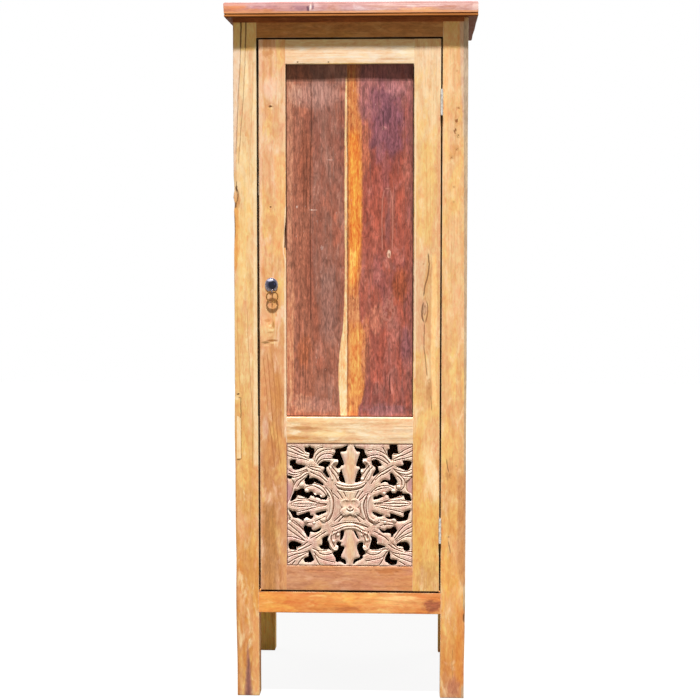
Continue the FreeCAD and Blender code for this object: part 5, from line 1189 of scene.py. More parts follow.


# the pierced and carved panel; its points are read off one enlarged view of the photo
carving = {
    "corner": (284, 440), "zoom": 11.0,    # that view's first pixel and its magnification
    "readY": -236.4, "fieldY": -237.0, "backY": -214.5, "step": 1.1, "snap": 0.62, "widen": 1.2, "tuck": 1.2,
    "edgeDrop": 0.7, "swell": 1.7, "swellReach": 6.5, "frameDrop": 1.2, "frameReach": 3.0,
    "grooveDeep": 1.3, "grooveWide": 1.8, "dishDeep": 1.0, "dishWide": 5.5,
    "ribHigh": 0.85, "ribPitch": 4.6, "ribReach": 10.0, "rollHigh": 1.5, "rollWide": 2.6,
    "sunkDeep": 2.2, "sunkSlope": 2.0, "bossFoot": 1.0, "bossHigh": 2.0,
    "hollowTurns": 14, "hollowDeep": 0.9, "rimReach": 2.4, "rimHighlight": 0.5,
}
carvedHoles = [

    # top left
    [(232, 85), (262, 88), (280, 72), (300, 88), (330, 100), (328, 145), (312, 195), (290, 205), (278, 190),
     (285, 150), (272, 138), (238, 128)],
    [(75, 228), (125, 222), (128, 250), (150, 270), (185, 275), (235, 288), (190, 310), (135, 328),
     (100, 318), (90, 290), (68, 275)],
    [(45, 400), (85, 402), (82, 418), (62, 425)],
    [(228, 440), (250, 412), (268, 384), (277, 400), (280, 424), (342, 422), (393, 455), (432, 490),
     (420, 497), (365, 474), (330, 462), (312, 484), (250, 490)],
    [(378, 275), (415, 250), (450, 237), (505, 245), (490, 285), (465, 300), (465, 340), (495, 405),
     (480, 410), (445, 375), (432, 350), (448, 318), (442, 295), (405, 285)],
    [(72, 668), (115, 570), (145, 560), (190, 536), (222, 542), (230, 574), (268, 580), (298, 568),
     (322, 585), (342, 607), (385, 605), (408, 632), (442, 637), (472, 608), (466, 652), (438, 655),
     (345, 626), (290, 610), (268, 642), (220, 626), (152, 606), (130, 640), (100, 660)],
    [(700, 60), (690, 85), (680, 118), (622, 132), (618, 146), (640, 205), (657, 270), (626, 282),
     (612, 306), (585, 311), (575, 290), (592, 268), (600, 238), (588, 214), (543, 208), (535, 192),
     (566, 140), (571, 102), (640, 90)],
    [(630, 332), (646, 385), (672, 467), (655, 468), (620, 455), (607, 425), (605, 400), (618, 355)],
    # top right
    [(773, 62), (795, 88), (875, 106), (888, 148), (915, 190), (900, 203), (870, 206), (862, 243),
     (885, 272), (893, 300), (870, 315), (840, 315), (830, 293), (798, 281), (815, 215), (839, 143),
     (825, 130), (795, 120)],
    [(838, 320), (842, 350), (850, 390), (838, 430), (842, 450), (785, 465), (795, 405), (815, 350)],
    [(965, 235), (995, 225), (1012, 215), (1040, 238), (1072, 280), (1035, 290), (1035, 325), (1045, 355),
     (1015, 380), (980, 400), (985, 375), (1010, 325), (1000, 295), (978, 280)],
    [(1165, 60), (1240, 60), (1245, 98), (1252, 145), (1205, 148), (1188, 160), (1185, 210), (1172, 215),
     (1150, 178), (1140, 120), (1165, 95)],
    [(1315, 232), (1395, 240), (1388, 290), (1360, 330), (1328, 332), (1275, 305), (1240, 295), (1305, 285),
     (1318, 260)],
    [(1065, 475), (1085, 450), (1110, 440), (1165, 445), (1170, 405), (1168, 375), (1185, 368), (1215, 405),
     (1243, 455), (1238, 475), (1222, 498), (1205, 503), (1180, 495), (1155, 490), (1145, 470),
     (1110, 460)],
    [(990, 655), (990, 628), (1030, 620), (1055, 602), (1085, 622), (1040, 645)],
    [(1120, 598), (1170, 560), (1185, 583), (1230, 588), (1245, 565), (1290, 570), (1310, 592), (1375, 598),
     (1392, 645), (1395, 668), (1340, 660), (1320, 620), (1285, 612), (1230, 630), (1165, 645),
     (1150, 612)],
    # bottom left
    [(55, 765), (90, 785), (130, 788), (145, 830), (200, 818), (275, 795), (290, 830), (320, 838),
     (300, 868), (275, 862), (250, 848), (220, 865), (208, 888), (165, 862), (105, 850), (88, 820)],
    [(350, 815), (385, 795), (460, 780), (450, 800), (405, 818), (380, 830)],
    [(232, 940), (262, 955), (300, 962), (305, 985), (340, 998), (405, 970), (385, 1000), (345, 1015),
     (290, 1010), (280, 1035), (268, 1070), (245, 1040), (218, 985)],
    [(55, 1140), (100, 1115), (155, 1130), (190, 1150), (165, 1170), (130, 1182), (135, 1207), (90, 1205),
     (60, 1195)],
    [(280, 1225), (298, 1245), (312, 1280), (325, 1320), (288, 1345), (232, 1340), (225, 1305), (270, 1285),
     (272, 1255)],
    [(425, 1085), (455, 1065), (490, 1055), (475, 1100), (490, 1130), (500, 1185), (520, 1215), (495, 1200),
     (460, 1205), (420, 1200), (390, 1170), (420, 1155), (425, 1115)],
    [(625, 1005), (655, 995), (655, 1040), (638, 1085), (622, 1100), (622, 1060)],
    [(590, 1125), (625, 1130), (622, 1165), (662, 1180), (645, 1225), (625, 1275), (635, 1305), (672, 1322),
     (678, 1365), (625, 1340), (578, 1340), (568, 1300), (540, 1240), (592, 1212), (600, 1170),
     (580, 1150)],
    # bottom right
    [(978, 795), (1005, 798), (1055, 820), (1090, 830), (1055, 845), (1015, 835), (985, 815)],
    [(1175, 810), (1225, 825), (1290, 850), (1318, 845), (1325, 795), (1390, 775), (1370, 815), (1355, 875),
     (1305, 890), (1250, 895), (1220, 865), (1180, 870), (1145, 865), (1120, 850), (1160, 850),
     (1173, 835)],
    [(1045, 975), (1075, 992), (1110, 1002), (1135, 980), (1175, 975), (1215, 955), (1240, 1000),
     (1205, 1038), (1185, 1070), (1178, 1035), (1150, 1022), (1110, 1022), (1075, 1012)],
    [(1240, 1155), (1275, 1130), (1345, 1125), (1378, 1165), (1372, 1215), (1325, 1215), (1315, 1185),
     (1290, 1170), (1260, 1168)],
    [(1155, 1225), (1165, 1260), (1172, 1312), (1232, 1322), (1242, 1335), (1228, 1370), (1170, 1372),
     (1145, 1355), (1115, 1330), (1120, 1295), (1140, 1255)],
    [(955, 1060), (990, 1070), (1015, 1085), (1022, 1115), (1020, 1145), (1078, 1160), (1110, 1175),
     (1070, 1190), (1030, 1200), (948, 1200), (960, 1125), (968, 1090)],
    [(770, 995), (790, 1015), (815, 1070), (820, 1090), (795, 1055)],
    [(835, 1130), (868, 1135), (865, 1180), (885, 1220), (892, 1245), (865, 1270), (860, 1302), (820, 1325),
     (790, 1340), (765, 1365), (775, 1320), (825, 1300), (838, 1280), (820, 1235), (805, 1170)],
]
carvedGrooves = [
    [(575, 500), (616, 545), (726, 556), (847, 530), (905, 470)],
    [(528, 957), (627, 918), (726, 905), (814, 930), (924, 962)],
    [(913, 640), (905, 720), (908, 792), (935, 880), (979, 913)], [(517, 550), (540, 620), (548, 700)],
    # round the middle field, then its rays
    [(565, 490), (600, 525), (660, 548), (720, 552), (790, 545), (860, 515), (900, 480)],
    [(525, 958), (590, 935), (650, 915), (720, 908), (790, 912), (860, 930), (925, 960)],
    [(455, 520), (505, 580), (540, 655), (548, 720), (535, 800), (505, 870), (440, 906), (392, 882)],
    [(925, 590), (885, 680), (880, 760), (902, 850), (945, 905), (1000, 925), (1050, 908)],
    [(545, 590), (600, 645)], [(590, 565), (642, 640)], [(655, 572), (680, 622)], [(868, 565), (805, 648)],
    [(820, 562), (782, 635)], [(905, 600), (830, 665)], [(555, 892), (640, 812)], [(600, 900), (662, 832)],
    [(880, 880), (800, 815)], [(835, 902), (782, 832)],
    # spear leaves
    [(65, 705), (200, 703), (330, 707), (470, 708)],
    [(80, 692), (160, 668), (250, 664), (350, 690), (462, 702)], [(152, 642), (240, 650), (350, 682)],
    [(80, 720), (180, 732), (300, 726), (465, 715)], [(150, 792), (250, 768), (350, 740), (455, 722)],
    [(1392, 702), (1250, 700), (1150, 703), (992, 705)],
    [(1385, 690), (1300, 662), (1190, 668), (1100, 686), (1000, 696)],
    [(1300, 628), (1200, 648), (1100, 678)], [(1385, 716), (1260, 732), (1130, 724), (1000, 714)],
    [(1310, 800), (1220, 775), (1110, 752), (1010, 730)],
    # top left leaves
    [(50, 75), (120, 110), (200, 150), (265, 160)], [(45, 120), (130, 150), (215, 180), (280, 212)],
    [(45, 175), (120, 195), (190, 205), (270, 226)], [(75, 68), (150, 85), (222, 138)],
    [(50, 330), (110, 360), (180, 350), (245, 325)], [(50, 370), (120, 385), (190, 365), (255, 335)],
    [(95, 415), (160, 400), (220, 360), (262, 345)], [(110, 500), (140, 450), (200, 410), (250, 370)],
    [(150, 510), (180, 465), (220, 425)], [(335, 235), (350, 180), (400, 130), (470, 105), (560, 100)],
    [(350, 250), (380, 195), (430, 160), (500, 150), (545, 165)],
    [(365, 262), (400, 225), (450, 205), (520, 205)], [(320, 220), (335, 150), (370, 100), (430, 80)],
    [(265, 300), (330, 330), (400, 350), (440, 395), (480, 435)],
    [(290, 350), (350, 380), (400, 402), (470, 465)], [(280, 288), (340, 300), (400, 312)],
    [(495, 300), (520, 345), (560, 395), (590, 455)], [(520, 285), (560, 335), (592, 375)],
    [(240, 520), (310, 505), (380, 530), (440, 580), (480, 640)],
    [(330, 480), (400, 502), (450, 545), (500, 625)],
    # top right leaves
    [(1405, 75), (1330, 110), (1262, 152), (1205, 165)],
    [(1410, 120), (1330, 160), (1260, 185), (1195, 218)],
    [(1410, 180), (1340, 200), (1262, 215), (1200, 232)],
    [(1405, 325), (1340, 350), (1270, 340), (1205, 320)],
    [(1405, 365), (1350, 385), (1280, 370), (1215, 335)],
    [(1400, 402), (1350, 405), (1290, 390), (1230, 350)],
    [(1225, 345), (1290, 400), (1330, 455), (1318, 522), (1280, 550), (1240, 535), (1236, 500),
     (1265, 486)],
    [(1250, 400), (1288, 440), (1298, 495)],
    [(1180, 230), (1130, 170), (1070, 130), (1000, 110), (920, 122)],
    [(1160, 250), (1100, 190), (1040, 165), (970, 170), (925, 185)],
    [(1140, 265), (1080, 225), (1010, 195), (960, 202)], [(1150, 200), (1110, 125), (1088, 82)],
    [(1200, 280), (1130, 320), (1060, 362), (1000, 422), (960, 482)],
    [(1170, 330), (1110, 370), (1055, 395), (1000, 445)], [(972, 300), (930, 350), (900, 402), (870, 455)],
    [(942, 280), (900, 330), (872, 372)], [(960, 580), (1010, 530), (1080, 505), (1160, 510), (1205, 532)],
    [(1000, 560), (1080, 532), (1150, 528)],
    # bottom left leaves
    [(258, 908), (330, 900), (400, 868), (450, 842)],
    [(60, 870), (120, 920), (190, 970), (240, 1040), (255, 1090)],
    [(50, 920), (110, 970), (170, 1020), (235, 1082)], [(45, 980), (100, 1020), (160, 1060), (220, 1102)],
    [(100, 880), (160, 930), (212, 985)], [(50, 1060), (110, 1070), (170, 1090), (222, 1110)],
    [(460, 1008), (400, 1046), (352, 1080)], [(262, 1122), (190, 1172), (140, 1192)],
    [(410, 1015), (350, 1052), (290, 1082)], [(300, 1150), (230, 1185), (160, 1218)],
    [(280, 1215), (200, 1242), (120, 1260), (45, 1290)],
    [(265, 1235), (190, 1272), (110, 1312), (45, 1352)], [(130, 1226), (50, 1236)],
    [(210, 1295), (170, 1340), (150, 1380)], [(120, 1330), (90, 1372)],
    [(310, 1190), (360, 1212), (400, 1250), (470, 1262), (535, 1245)],
    [(330, 1232), (380, 1290), (450, 1320), (560, 1345)], [(340, 1272), (370, 1340), (400, 1380)],
    [(330, 1200), (400, 1222), (470, 1216)], [(540, 1000), (520, 1060), (530, 1120), (558, 1172)],
    [(592, 1010), (570, 1055), (572, 1090)],
    # bottom right leaves
    [(1060, 880), (1120, 890), (1190, 905)], [(1060, 942), (1120, 930), (1195, 935)],
    [(1400, 905), (1330, 940), (1270, 1000), (1215, 1082)],
    [(1405, 955), (1340, 990), (1280, 1042), (1222, 1102)],
    [(1405, 1010), (1340, 1040), (1280, 1072), (1228, 1115)],
    [(1400, 1062), (1340, 1064), (1285, 1090), (1232, 1128)], [(992, 1006), (1070, 1042), (1112, 1072)],
    [(1196, 1142), (1250, 1190), (1310, 1202)], [(1040, 1040), (1110, 1070), (1150, 1112)],
    [(1150, 1150), (1210, 1192), (1300, 1228)], [(1180, 1232), (1250, 1252), (1330, 1262), (1405, 1282)],
    [(1190, 1250), (1260, 1292), (1340, 1322), (1405, 1346)], [(1330, 1236), (1405, 1228)],
    [(1270, 1335), (1330, 1372)], [(1150, 1200), (1090, 1212), (1040, 1250), (970, 1265), (910, 1242)],
    [(1130, 1232), (1080, 1290), (1000, 1312), (900, 1332)], [(1110, 1262), (1080, 1330), (1050, 1372)],
    [(1120, 1192), (1050, 1216), (960, 1216)], [(838, 1000), (872, 1050), (892, 1110), (885, 1160)],
    [(930, 1010), (915, 1060), (925, 1110)],
]
carvedRolls = [
    [(588, 470), (650, 490), (735, 496), (825, 482), (875, 458)],
    [(580, 500), (650, 520), (735, 525), (820, 512), (885, 480)],
    [(565, 985), (640, 950), (720, 935), (800, 940), (880, 985)],
    [(600, 1000), (660, 972), (720, 962), (790, 968), (850, 1000)],
    [(478, 565), (515, 640), (522, 720), (512, 800), (478, 868)],
    [(905, 600), (862, 690), (860, 765), (885, 850)],
    [(940, 620), (915, 690), (915, 765), (938, 850), (985, 885)],
    # curled tips beside the spears
    [(530, 430), (512, 372), (516, 306), (540, 252), (576, 232), (598, 252), (588, 280)],
    [(925, 430), (952, 372), (950, 306), (926, 250), (894, 226), (868, 246), (880, 276)],
    [(585, 1006), (526, 1036), (496, 1096), (516, 1160), (556, 1206), (592, 1198), (584, 1168)],
    [(858, 1006), (922, 1036), (956, 1096), (942, 1160), (908, 1206), (870, 1196), (880, 1164)],
]
carvedBosses = [
    (570, 240, 28), (890, 236, 28), (195, 490, 30), (252, 556, 24), (1262, 512, 26), (1203, 556, 24),
    (245, 886, 30), (430, 872, 34), (1215, 882, 28), (1005, 888, 34), (572, 1190, 28), (890, 1186, 28),
    (600, 350, 18), (605, 420, 18), (855, 350, 18), (865, 430, 18), (590, 1040, 20), (860, 1040, 20),
    (545, 1110, 18), (918, 1100, 18), (340, 600, 18), (405, 622, 16), (1100, 585, 18), (330, 905, 18),
    (1110, 905, 18),
]
carvedSunk = [
    [(28, 392), (90, 430), (118, 470), (100, 560), (70, 650), (28, 700)],
    [(1424, 402), (1375, 425), (1335, 470), (1345, 560), (1402, 600), (1424, 640)],
    [(28, 745), (50, 800), (78, 862), (45, 905), (28, 905)],
]
rosette = {
    "middle": (727, 742), "lobeOut": (50, 46), "lobeRound": (60, 52), "lobeHigh": 1.9, "dishLow": -0.3,
    "dishHigh": 2.1, "buttonRound": 36, "buttonHigh": 0.9, "shadeDeep": 2.0, "shadeAt": 1.1, "shadeWide": 0.28,
}


def readCarving(points):
    p = carving
    (u, v), zoom = p["corner"], p["zoom"]
    places = [onFace(u + x / zoom, v + y / zoom, p["readY"] * mm) for x, y in points]
    return np.array([(place.x, place.z) for place in places]) / mm


def smoothLine(points, closed=False, parts=4):
    # a curve through the points, with each stretch in a few parts
    points = np.asarray(points, float)
    ends = (points[-1:], points[:2]) if closed else (points[:1], points[-1:])
    padded = np.vstack([ends[0], points, ends[1]])
    line = []
    for a, b, c, d in zip(padded, padded[1:], padded[2:], padded[3:]):
        for t in np.arange(parts) / parts:
            line.append(b + 0.5 * t * (c - a + t * (2 * a - 5 * b + 4 * c - d + t * (3 * (b - c) + d - a))))
    return np.array(line if closed else line + [points[-1]])


def nearestOn(spots, line):
    gap = np.full(len(spots), np.inf)
    point = spots.copy()
    for start, end in zip(line[:-1], line[1:]):
        run = end - start
        share = np.clip((spots - start) @ run / max(run @ run, 1e-9), 0, 1)
        foot = start + share[:, None] * run
        away = np.hypot(*(spots - foot).T)
        closer = away < gap
        gap[closer], point[closer] = away[closer], foot[closer]
    return gap, point


def insideLoop(spots, loop):
    inside = np.zeros(len(spots), bool)
    for a, b in zip(loop, np.roll(loop, -1, axis=0)):
        between = (a[1] > spots[:, 1]) != (b[1] > spots[:, 1])
        rise = b[1] - a[1] if abs(b[1] - a[1]) > 1e-9 else 1e-9
        inside ^= between & (spots[:, 0] < a[0] + (b[0] - a[0]) * (spots[:, 1] - a[1]) / rise)
    return inside


def closeTo(spots, line, margin):
    return np.flatnonzero(np.all((spots > line.min(0) - margin) & (spots < line.max(0) + margin), axis=1))


def holeDistance(spots, loops, most):
    # how far from the nearest opening, less than nothing inside one, and the nearest point of its rim
    gap, point = np.full(len(spots), most), spots.copy()
    for loop in loops:
        near = closeTo(spots, loop, most)
        away, foot = nearestOn(spots[near], np.vstack([loop, loop[:1]]))
        away[insideLoop(spots[near], loop)] *= -1
        closer = away < gap[near]
        gap[near[closer]], point[near[closer]] = away[closer], foot[closer]
    return gap, point


def softened(field, turns):
    for turn in range(turns):
        padded = np.pad(field, 1, mode="edge")
        field = (padded[:-2, 1:-1] + padded[2:, 1:-1] + padded[1:-1, :-2] + padded[1:-1, 2:] + 4 * field) / 8
    return field


def fading(away, reach):
    # one at nothing, falling to nothing at the reach
    return np.clip(1 - away / reach, 0, 1)


def domed(away, power=2):
    return np.sqrt(np.clip(1 - away ** power, 0, 1))


def rosetteHeights(height, spots, pixel):
    # four dished lobes and a button with a dark cut below it
    r = rosette
    middle = readCarving([r["middle"]])[0]
    lobes = np.zeros(len(spots))
    for side in (-1, 1):
        for level, dish in ((-1, r["dishLow"]), (1, r["dishHigh"])):
            centre = middle + np.array((side, level)) * r["lobeOut"] * pixel
            away = np.hypot(*((spots - centre) / np.array(r["lobeRound"])).T) / pixel
            petal = r["lobeHigh"] * domed(away, 6) - dish * np.clip(1 - away ** 2, 0, 1)
            lobes = np.where(away < 1, np.maximum(lobes, petal), lobes)
    away = np.hypot(*(spots - middle).T) / (r["buttonRound"] * pixel)
    under = np.clip((middle[1] - spots[:, 1]) / (0.5 * r["buttonRound"] * pixel), 0, 1)
    cut = r["shadeDeep"] * under * fading(np.abs(away - r["shadeAt"]), r["shadeWide"])
    return height + lobes + r["buttonHigh"] * domed(away) - cut


def carvedHeights(spots, gap, low, high):
    # relief above the field, in mm: rounded rims, sunk grounds, bosses, the rosette, rolls, then grooves
    p = carving
    height = -p["edgeDrop"] + p["swell"] * (1 - fading(gap, p["swellReach"]) ** 2)
    rim = np.minimum(spots - low, high - spots).min(axis=1) - p["tuck"]
    height -= p["frameDrop"] * fading(rim, p["frameReach"])
    for points in carvedSunk:
        loop = smoothLine(readCarving(points), closed=True)
        near = closeTo(spots, loop, p["sunkSlope"])
        away = nearestOn(spots[near], np.vstack([loop, loop[:1]]))[0]
        slope = np.clip(away / p["sunkSlope"], 0, 1)
        height[near] -= p["sunkDeep"] * np.where(insideLoop(spots[near], loop), slope, 0)
    pixel = readCarving([(1, 0)])[0, 0] - readCarving([(0, 0)])[0, 0]
    for x, y, reach in carvedBosses:
        away = np.hypot(*(spots - readCarving([(x, y)])[0]).T) / (reach * pixel)
        dome = p["bossFoot"] - p["edgeDrop"] + (p["edgeDrop"] + p["bossHigh"]) * domed(away)
        height = np.where(away < 1, np.maximum(height, dome), height)
    height = rosetteHeights(height, spots, pixel)
    for points in carvedRolls:
        line = smoothLine(readCarving(points))
        near = closeTo(spots, line, p["rollWide"])
        height[near] += p["rollHigh"] * domed(nearestOn(spots[near], line)[0] / p["rollWide"])
    # each cut of the gouge has a sharp bottom, dished sides and faint ribs beside it
    nearest = np.full(len(spots), p["ribReach"])
    for points in carvedGrooves:
        line = smoothLine(readCarving(points))
        near = closeTo(spots, line, p["ribReach"])
        nearest[near] = np.minimum(nearest[near], nearestOn(spots[near], line)[0])
    height -= p["grooveDeep"] * fading(nearest, p["grooveWide"])
    height -= p["dishDeep"] * fading(nearest, p["dishWide"]) ** 2
    ribs = np.cos(fullTurn * nearest / p["ribPitch"]) * fading(nearest, p["ribReach"])
    return height - p["ribHigh"] * np.where(nearest > p["ribPitch"] / 2, ribs, 0)


def piercedSheet(name, low, high, loops):
    # a grid with the openings cut out and its rims drawn on to their outlines
    p = carving
    bpy.ops.object.select_all(action="DESELECT")
    cells = [int(round(side / p["step"])) for side in high - low]
    bpy.ops.mesh.primitive_grid_add(x_subdivisions=cells[0], y_subdivisions=cells[1], size=1)
    piece = bpy.context.object
    piece.name = name
    mesh = piece.data
    places = np.zeros(len(mesh.vertices) * 3)
    mesh.vertices.foreach_get("co", places)
    spots = low + (places.reshape(-1, 3)[:, :2] + 0.5) * (high - low)
    gap, rim = holeDistance(spots, loops, p["swellReach"])
    height = carvedHeights(spots, np.maximum(gap, 0), low, high)
    # the heights are softened, and painted shading noted for the finish, row by row: shade in the hollows,
    # highlight on the rims
    order = np.lexsort((spots[:, 0].round(4), spots[:, 1].round(4)))
    table = np.zeros(len(spots), int)
    table[order] = np.arange(len(spots))
    field = softened(height[order].reshape(cells[1] + 1, cells[0] + 1), 1)
    hollow = np.clip((softened(field, p["hollowTurns"]) - field) / p["hollowDeep"], -1, 1)
    rimmed = fading(np.maximum(gap, 0)[order].reshape(field.shape), p["rimReach"])
    hollow = hollow * (1 - rimmed) - p["rimHighlight"] * rimmed
    layer = mesh.attributes.new("hollow", "FLOAT", "POINT")
    layer.data.foreach_set("value", hollow.ravel()[table].astype(np.float32))
    snapped = np.abs(gap) < p["snap"] * p["step"]
    spots[snapped] = rim[snapped]
    faceY = p["fieldY"] - field.ravel()[table]
    mesh.vertices.foreach_set("co", (np.column_stack([spots[:, 0], faceY, spots[:, 1]]) * mm).ravel())
    corners = np.zeros(len(mesh.loops), int)
    mesh.loops.foreach_get("vertex_index", corners)
    corners = corners.reshape(-1, 4)
    pierced = ((gap < 0) & ~snapped)[corners].any(axis=1)
    pierced |= snapped[corners].all(axis=1) & (gap[corners].mean(axis=1) < 0)
    bpy.ops.object.mode_set(mode="EDIT")
    bpy.ops.mesh.select_mode(type="FACE")
    bpy.ops.object.mode_set(mode="OBJECT")
    mesh.polygons.foreach_set("select", pierced)
    bpy.ops.object.mode_set(mode="EDIT")
    bpy.ops.mesh.delete(type="FACE")
    return piece


def widened(loop, reach):
    # the opening's outline moved outwards
    run = np.roll(loop, -1, axis=0) - np.roll(loop, 1, axis=0)
    out = np.column_stack([run[:, 1], -run[:, 0]]) / np.maximum(np.hypot(*run.T), 1e-9)[:, None]
    turn = np.sum(loop[:, 0] * np.roll(loop[:, 1], -1) - np.roll(loop[:, 0], -1) * loop[:, 1])
    return loop + out * reach * np.sign(turn)


def makeCarving():
    p = carving
    loops = [widened(smoothLine(readCarving(points), closed=True), p["widen"]) for points in carvedHoles]
    left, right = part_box("door_left_stile")[1].x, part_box("door_right_stile")[0].x
    bottom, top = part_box("door_bottom_rail")[1].z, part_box("door_middle_rail")[0].z
    low = np.array((left, bottom)) / mm - p["tuck"]
    high = np.array((right, top)) / mm + p["tuck"]
    panel = piercedSheet("carvedPanel", low, high, loops)
    # walls from every rim to the back, which is filled between them
    bpy.ops.mesh.select_mode(type="EDGE")
    bpy.ops.mesh.select_all(action="DESELECT")
    bpy.ops.mesh.select_non_manifold(extend=False, use_wire=False, use_boundary=True, use_multi_face=False,
                                     use_non_contiguous=False, use_verts=False)
    bpy.ops.mesh.extrude_region_move()
    mesh = bmesh.from_edit_mesh(panel.data)
    for vert in mesh.verts:
        if vert.select:
            vert.co.y = p["backY"] * mm
    bmesh.update_edit_mesh(panel.data)
    bpy.ops.mesh.fill(use_beauty=True)
    bpy.ops.mesh.select_all(action="SELECT")
    bpy.ops.mesh.normals_make_consistent(inside=False)
    bpy.ops.object.mode_set(mode="OBJECT")
    for vert, hollow in zip(panel.data.vertices, panel.data.attributes["hollow"].data):
        if vert.co.y > p["backY"] * mm - touching:
            hollow.value = 0.0
    settle(panel, dict(nodes=["carved_panel"], slot="carving_wood", body="door", finish=woods["carving"]))
    print("carving:", len(panel.data.polygons), "faces")


makeCarving()

# ring pull: a shallow dome on a plate, an eye below it and the ring
pull = {
    "plate": 16.6, "plateThick": 1.4, "plateDrop": 3.5, "rim": 0.5, "dome": 14.0, "domeHigh": 4.8, "stud": 2.5,
    "eye": 3.6, "eyeWire": 1.3, "ring": 14.4, "ringWire": 1.5, "aside": 2.4,
    "solidPlate": 16.0, "solidWire": 1.75,    # of the solids that the pieces stand for
}


def joinParts(name, *parts):
    bpy.ops.object.select_all(action="DESELECT")
    for part in parts:
        part.select_set(True)
    bpy.context.view_layer.objects.active = parts[0]
    if len(parts) > 1:
        bpy.ops.object.join()
    bpy.ops.object.transform_apply(location=True, rotation=True, scale=True)
    bpy.context.object.name = name
    return bpy.context.object


def makePull():
    p = {key: size * mm for key, size in pull.items()}
    low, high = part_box("pull_rose")
    ringLow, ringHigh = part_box("pull_ring")
    middle = Vector(((low.x + high.x) / 2, doorFace, high.z - p["solidPlate"]))
    pivot = Vector((middle.x + p["aside"], (ringLow.y + ringHigh.y) / 2, ringHigh.z - p["solidWire"]))
    outward, sideways = (math.radians(90), 0, 0), (0, math.radians(90), 0)
    bpy.ops.mesh.primitive_cylinder_add(
        vertices=64, radius=p["plate"], depth=p["plateThick"], rotation=outward,
        location=middle - Vector((0, p["plateThick"] / 2, 0)))
    plate = joinParts("pullPlate", bpy.context.object)
    for vert in plate.data.vertices:
        if vert.co.z < middle.z - 0.1 * mm:
            vert.co.z -= p["plateDrop"]
    bpy.ops.object.mode_set(mode="EDIT")
    bpy.ops.mesh.select_mode(type="EDGE")
    bpy.ops.mesh.select_all(action="DESELECT")
    bpy.ops.mesh.edges_select_sharp(sharpness=math.radians(60))
    bpy.ops.mesh.bevel(offset=p["rim"], segments=3, affect="EDGES")
    bpy.ops.object.mode_set(mode="OBJECT")
    bpy.ops.mesh.primitive_uv_sphere_add(
        segments=64, ring_count=32, radius=p["dome"], rotation=outward,
        location=middle - Vector((0, p["plateThick"], 0)))
    bpy.context.object.scale.z = p["domeHigh"] / p["dome"]
    dome = joinParts("pullDome", bpy.context.object)
    bpy.ops.object.mode_set(mode="EDIT")
    bpy.ops.mesh.select_all(action="SELECT")
    bpy.ops.mesh.bisect(
        plane_co=(0, doorFace - p["plateThick"] / 2, 0), plane_no=(0, 1, 0), use_fill=True, clear_outer=True)
    bpy.ops.object.mode_set(mode="OBJECT")
    bpy.ops.mesh.primitive_torus_add(
        major_radius=p["eye"], minor_radius=p["eyeWire"], rotation=sideways, location=pivot,
        major_segments=32, minor_segments=14)
    eye = bpy.context.object
    bpy.ops.mesh.primitive_cylinder_add(
        vertices=24, radius=p["stud"], depth=high.y - doorFace, rotation=outward,
        location=(middle.x, (doorFace + high.y) / 2, middle.z))
    rose = joinParts("pullRose", plate, dome, eye, bpy.context.object)
    settle(rose, dict(nodes=["pull_rose"], slot="pull_iron", body="door", finish=steels["pullIron"]))
    bpy.ops.mesh.primitive_torus_add(
        major_radius=p["ring"], minor_radius=p["ringWire"], rotation=outward,
        location=pivot - Vector((0, 0, p["ring"])), major_segments=72, minor_segments=16)
    ring = joinParts("pullRing", bpy.context.object)
    settle(ring, dict(nodes=["pull_ring"], slot="ring_bronze", body="ring", finish=steels["ringBronze"]))


makePull()
print("ring pull made")

# CAD nodes that keep their own shape
keptNodes = {
    "cornice": ["front_cornice_strip"],
    "patch": ["left_post_patch"],
    "sidePanel": ["left_side_upper_panel", "left_side_lower_panel",
                  "right_side_upper_panel", "right_side_lower_panel"],
    "backLeft": ["back_left_board"],
    "backMiddle": ["back_middle_board"],
    "backRight": ["back_right_board"],
    "inside": ["floor_front_board", "floor_rear_board", "left_floor_cleat", "right_floor_cleat", "hat_shelf",
               "left_shelf_cleat", "right_shelf_cleat", "top_glue_blocks"],
    "hingeSteel": ["upper_hinge_post_leaf", "lower_hinge_post_leaf", "upper_hinge_door_leaf",
                   "lower_hinge_door_leaf", "upper_hinge_pin", "lower_hinge_pin", "carcase_screws",
                   "door_screws", "strike_plate"],
    "railSteel": ["hanging_rail", "left_rail_socket", "right_rail_socket"],
    "catchPlastic": ["catch_housing"],
    "magnetBlack": ["catch_magnet"],
    "pullIron": ["pull_washer", "pull_nut"],
}
for finish, nodes in keptNodes.items():
    for node in nodes:
        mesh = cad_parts[node].data
        mesh.materials.clear()
        mesh.materials.append(woods.get(finish) or steels[finish])
print("kept nodes dressed")

# floor, world and light
studio = {
    "sunHeight": 74.6, "sunTurn": 4, "sunStrength": 8.15, "sunSoft": 2.5,
    "rearHeight": 35, "rearTurn": 125, "rearStrength": 0.9, "rearSoft": 40,
    "fill": 0.27, "fillTint": (255, 247, 232),
    "floorSize": 16, "bounceTint": (108, 102, 92), "floorTint": (232, 231, 229), "floorGlow": 0.91,
}
white = (1, 1, 1, 1)


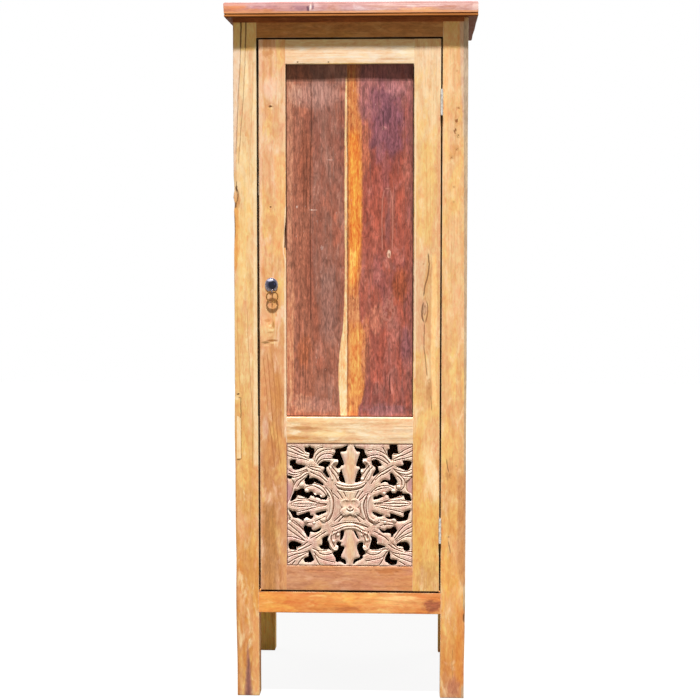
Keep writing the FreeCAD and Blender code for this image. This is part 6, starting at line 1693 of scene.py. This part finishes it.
def seenRays(tree):
    rays = addNode(tree, "ShaderNodeLightPath").outputs
    return calc(tree, "MAXIMUM", rays["Is Camera Ray"],
                calc(tree, "MAXIMUM", rays["Is Glossy Ray"], rays["Is Transmission Ray"]))


def mixShaders(tree, share, first, second):
    return addNode(tree, "ShaderNodeMixShader", {0: share, 1: first.outputs[0], 2: second.outputs[0]})


def addSun(name, height, turn, strength, soft):
    bpy.ops.object.light_add(type="SUN", location=(0, -2, 4),
                             rotation=(math.radians(90 - height), 0, math.radians(turn)))
    sun = bpy.context.object
    sun.name = name
    sun.data.energy = strength
    sun.data.angle = math.radians(soft)


def addStage(p):
    bpy.ops.mesh.primitive_plane_add(size=p["floorSize"])
    floor = bpy.context.object
    floor.name = "floor"
    material, tree = startMaterial("paleFloor")
    bounce = addNode(tree, "ShaderNodeBsdfDiffuse", {"Color": tint(p["bounceTint"])})
    pale = addNode(tree, "ShaderNodeBsdfDiffuse", {"Color": tint(p["floorTint"])})
    glow = addNode(tree, "ShaderNodeEmission", {"Color": white, "Strength": 1.0})
    endMaterial(tree, mixShaders(tree, seenRays(tree), bounce, mixShaders(tree, p["floorGlow"], pale, glow)))
    floor.data.materials.append(material)

    world = bpy.data.worlds.new("studio")
    world.use_nodes = True
    bpy.context.scene.world = world
    tree = world.node_tree
    tree.nodes.clear()
    fill = addNode(tree, "ShaderNodeBackground", {"Color": tint(p["fillTint"]), "Strength": p["fill"]})
    plain = addNode(tree, "ShaderNodeBackground", {"Color": white, "Strength": 1.0})
    shade = mixShaders(tree, seenRays(tree), fill, plain)
    tree.links.new(shade.outputs[0], addNode(tree, "ShaderNodeOutputWorld").inputs["Surface"])
    addSun("keyLight", p["sunHeight"], p["sunTurn"], p["sunStrength"], p["sunSoft"])
    addSun("rearLeftLight", p["rearHeight"], -p["rearTurn"], p["rearStrength"], p["rearSoft"])
    addSun("rearRightLight", p["rearHeight"], p["rearTurn"], p["rearStrength"], p["rearSoft"])


addCamera(photoView)
addStage(studio)
bpy.context.scene.view_settings.view_transform = "Standard"
print("stage set")
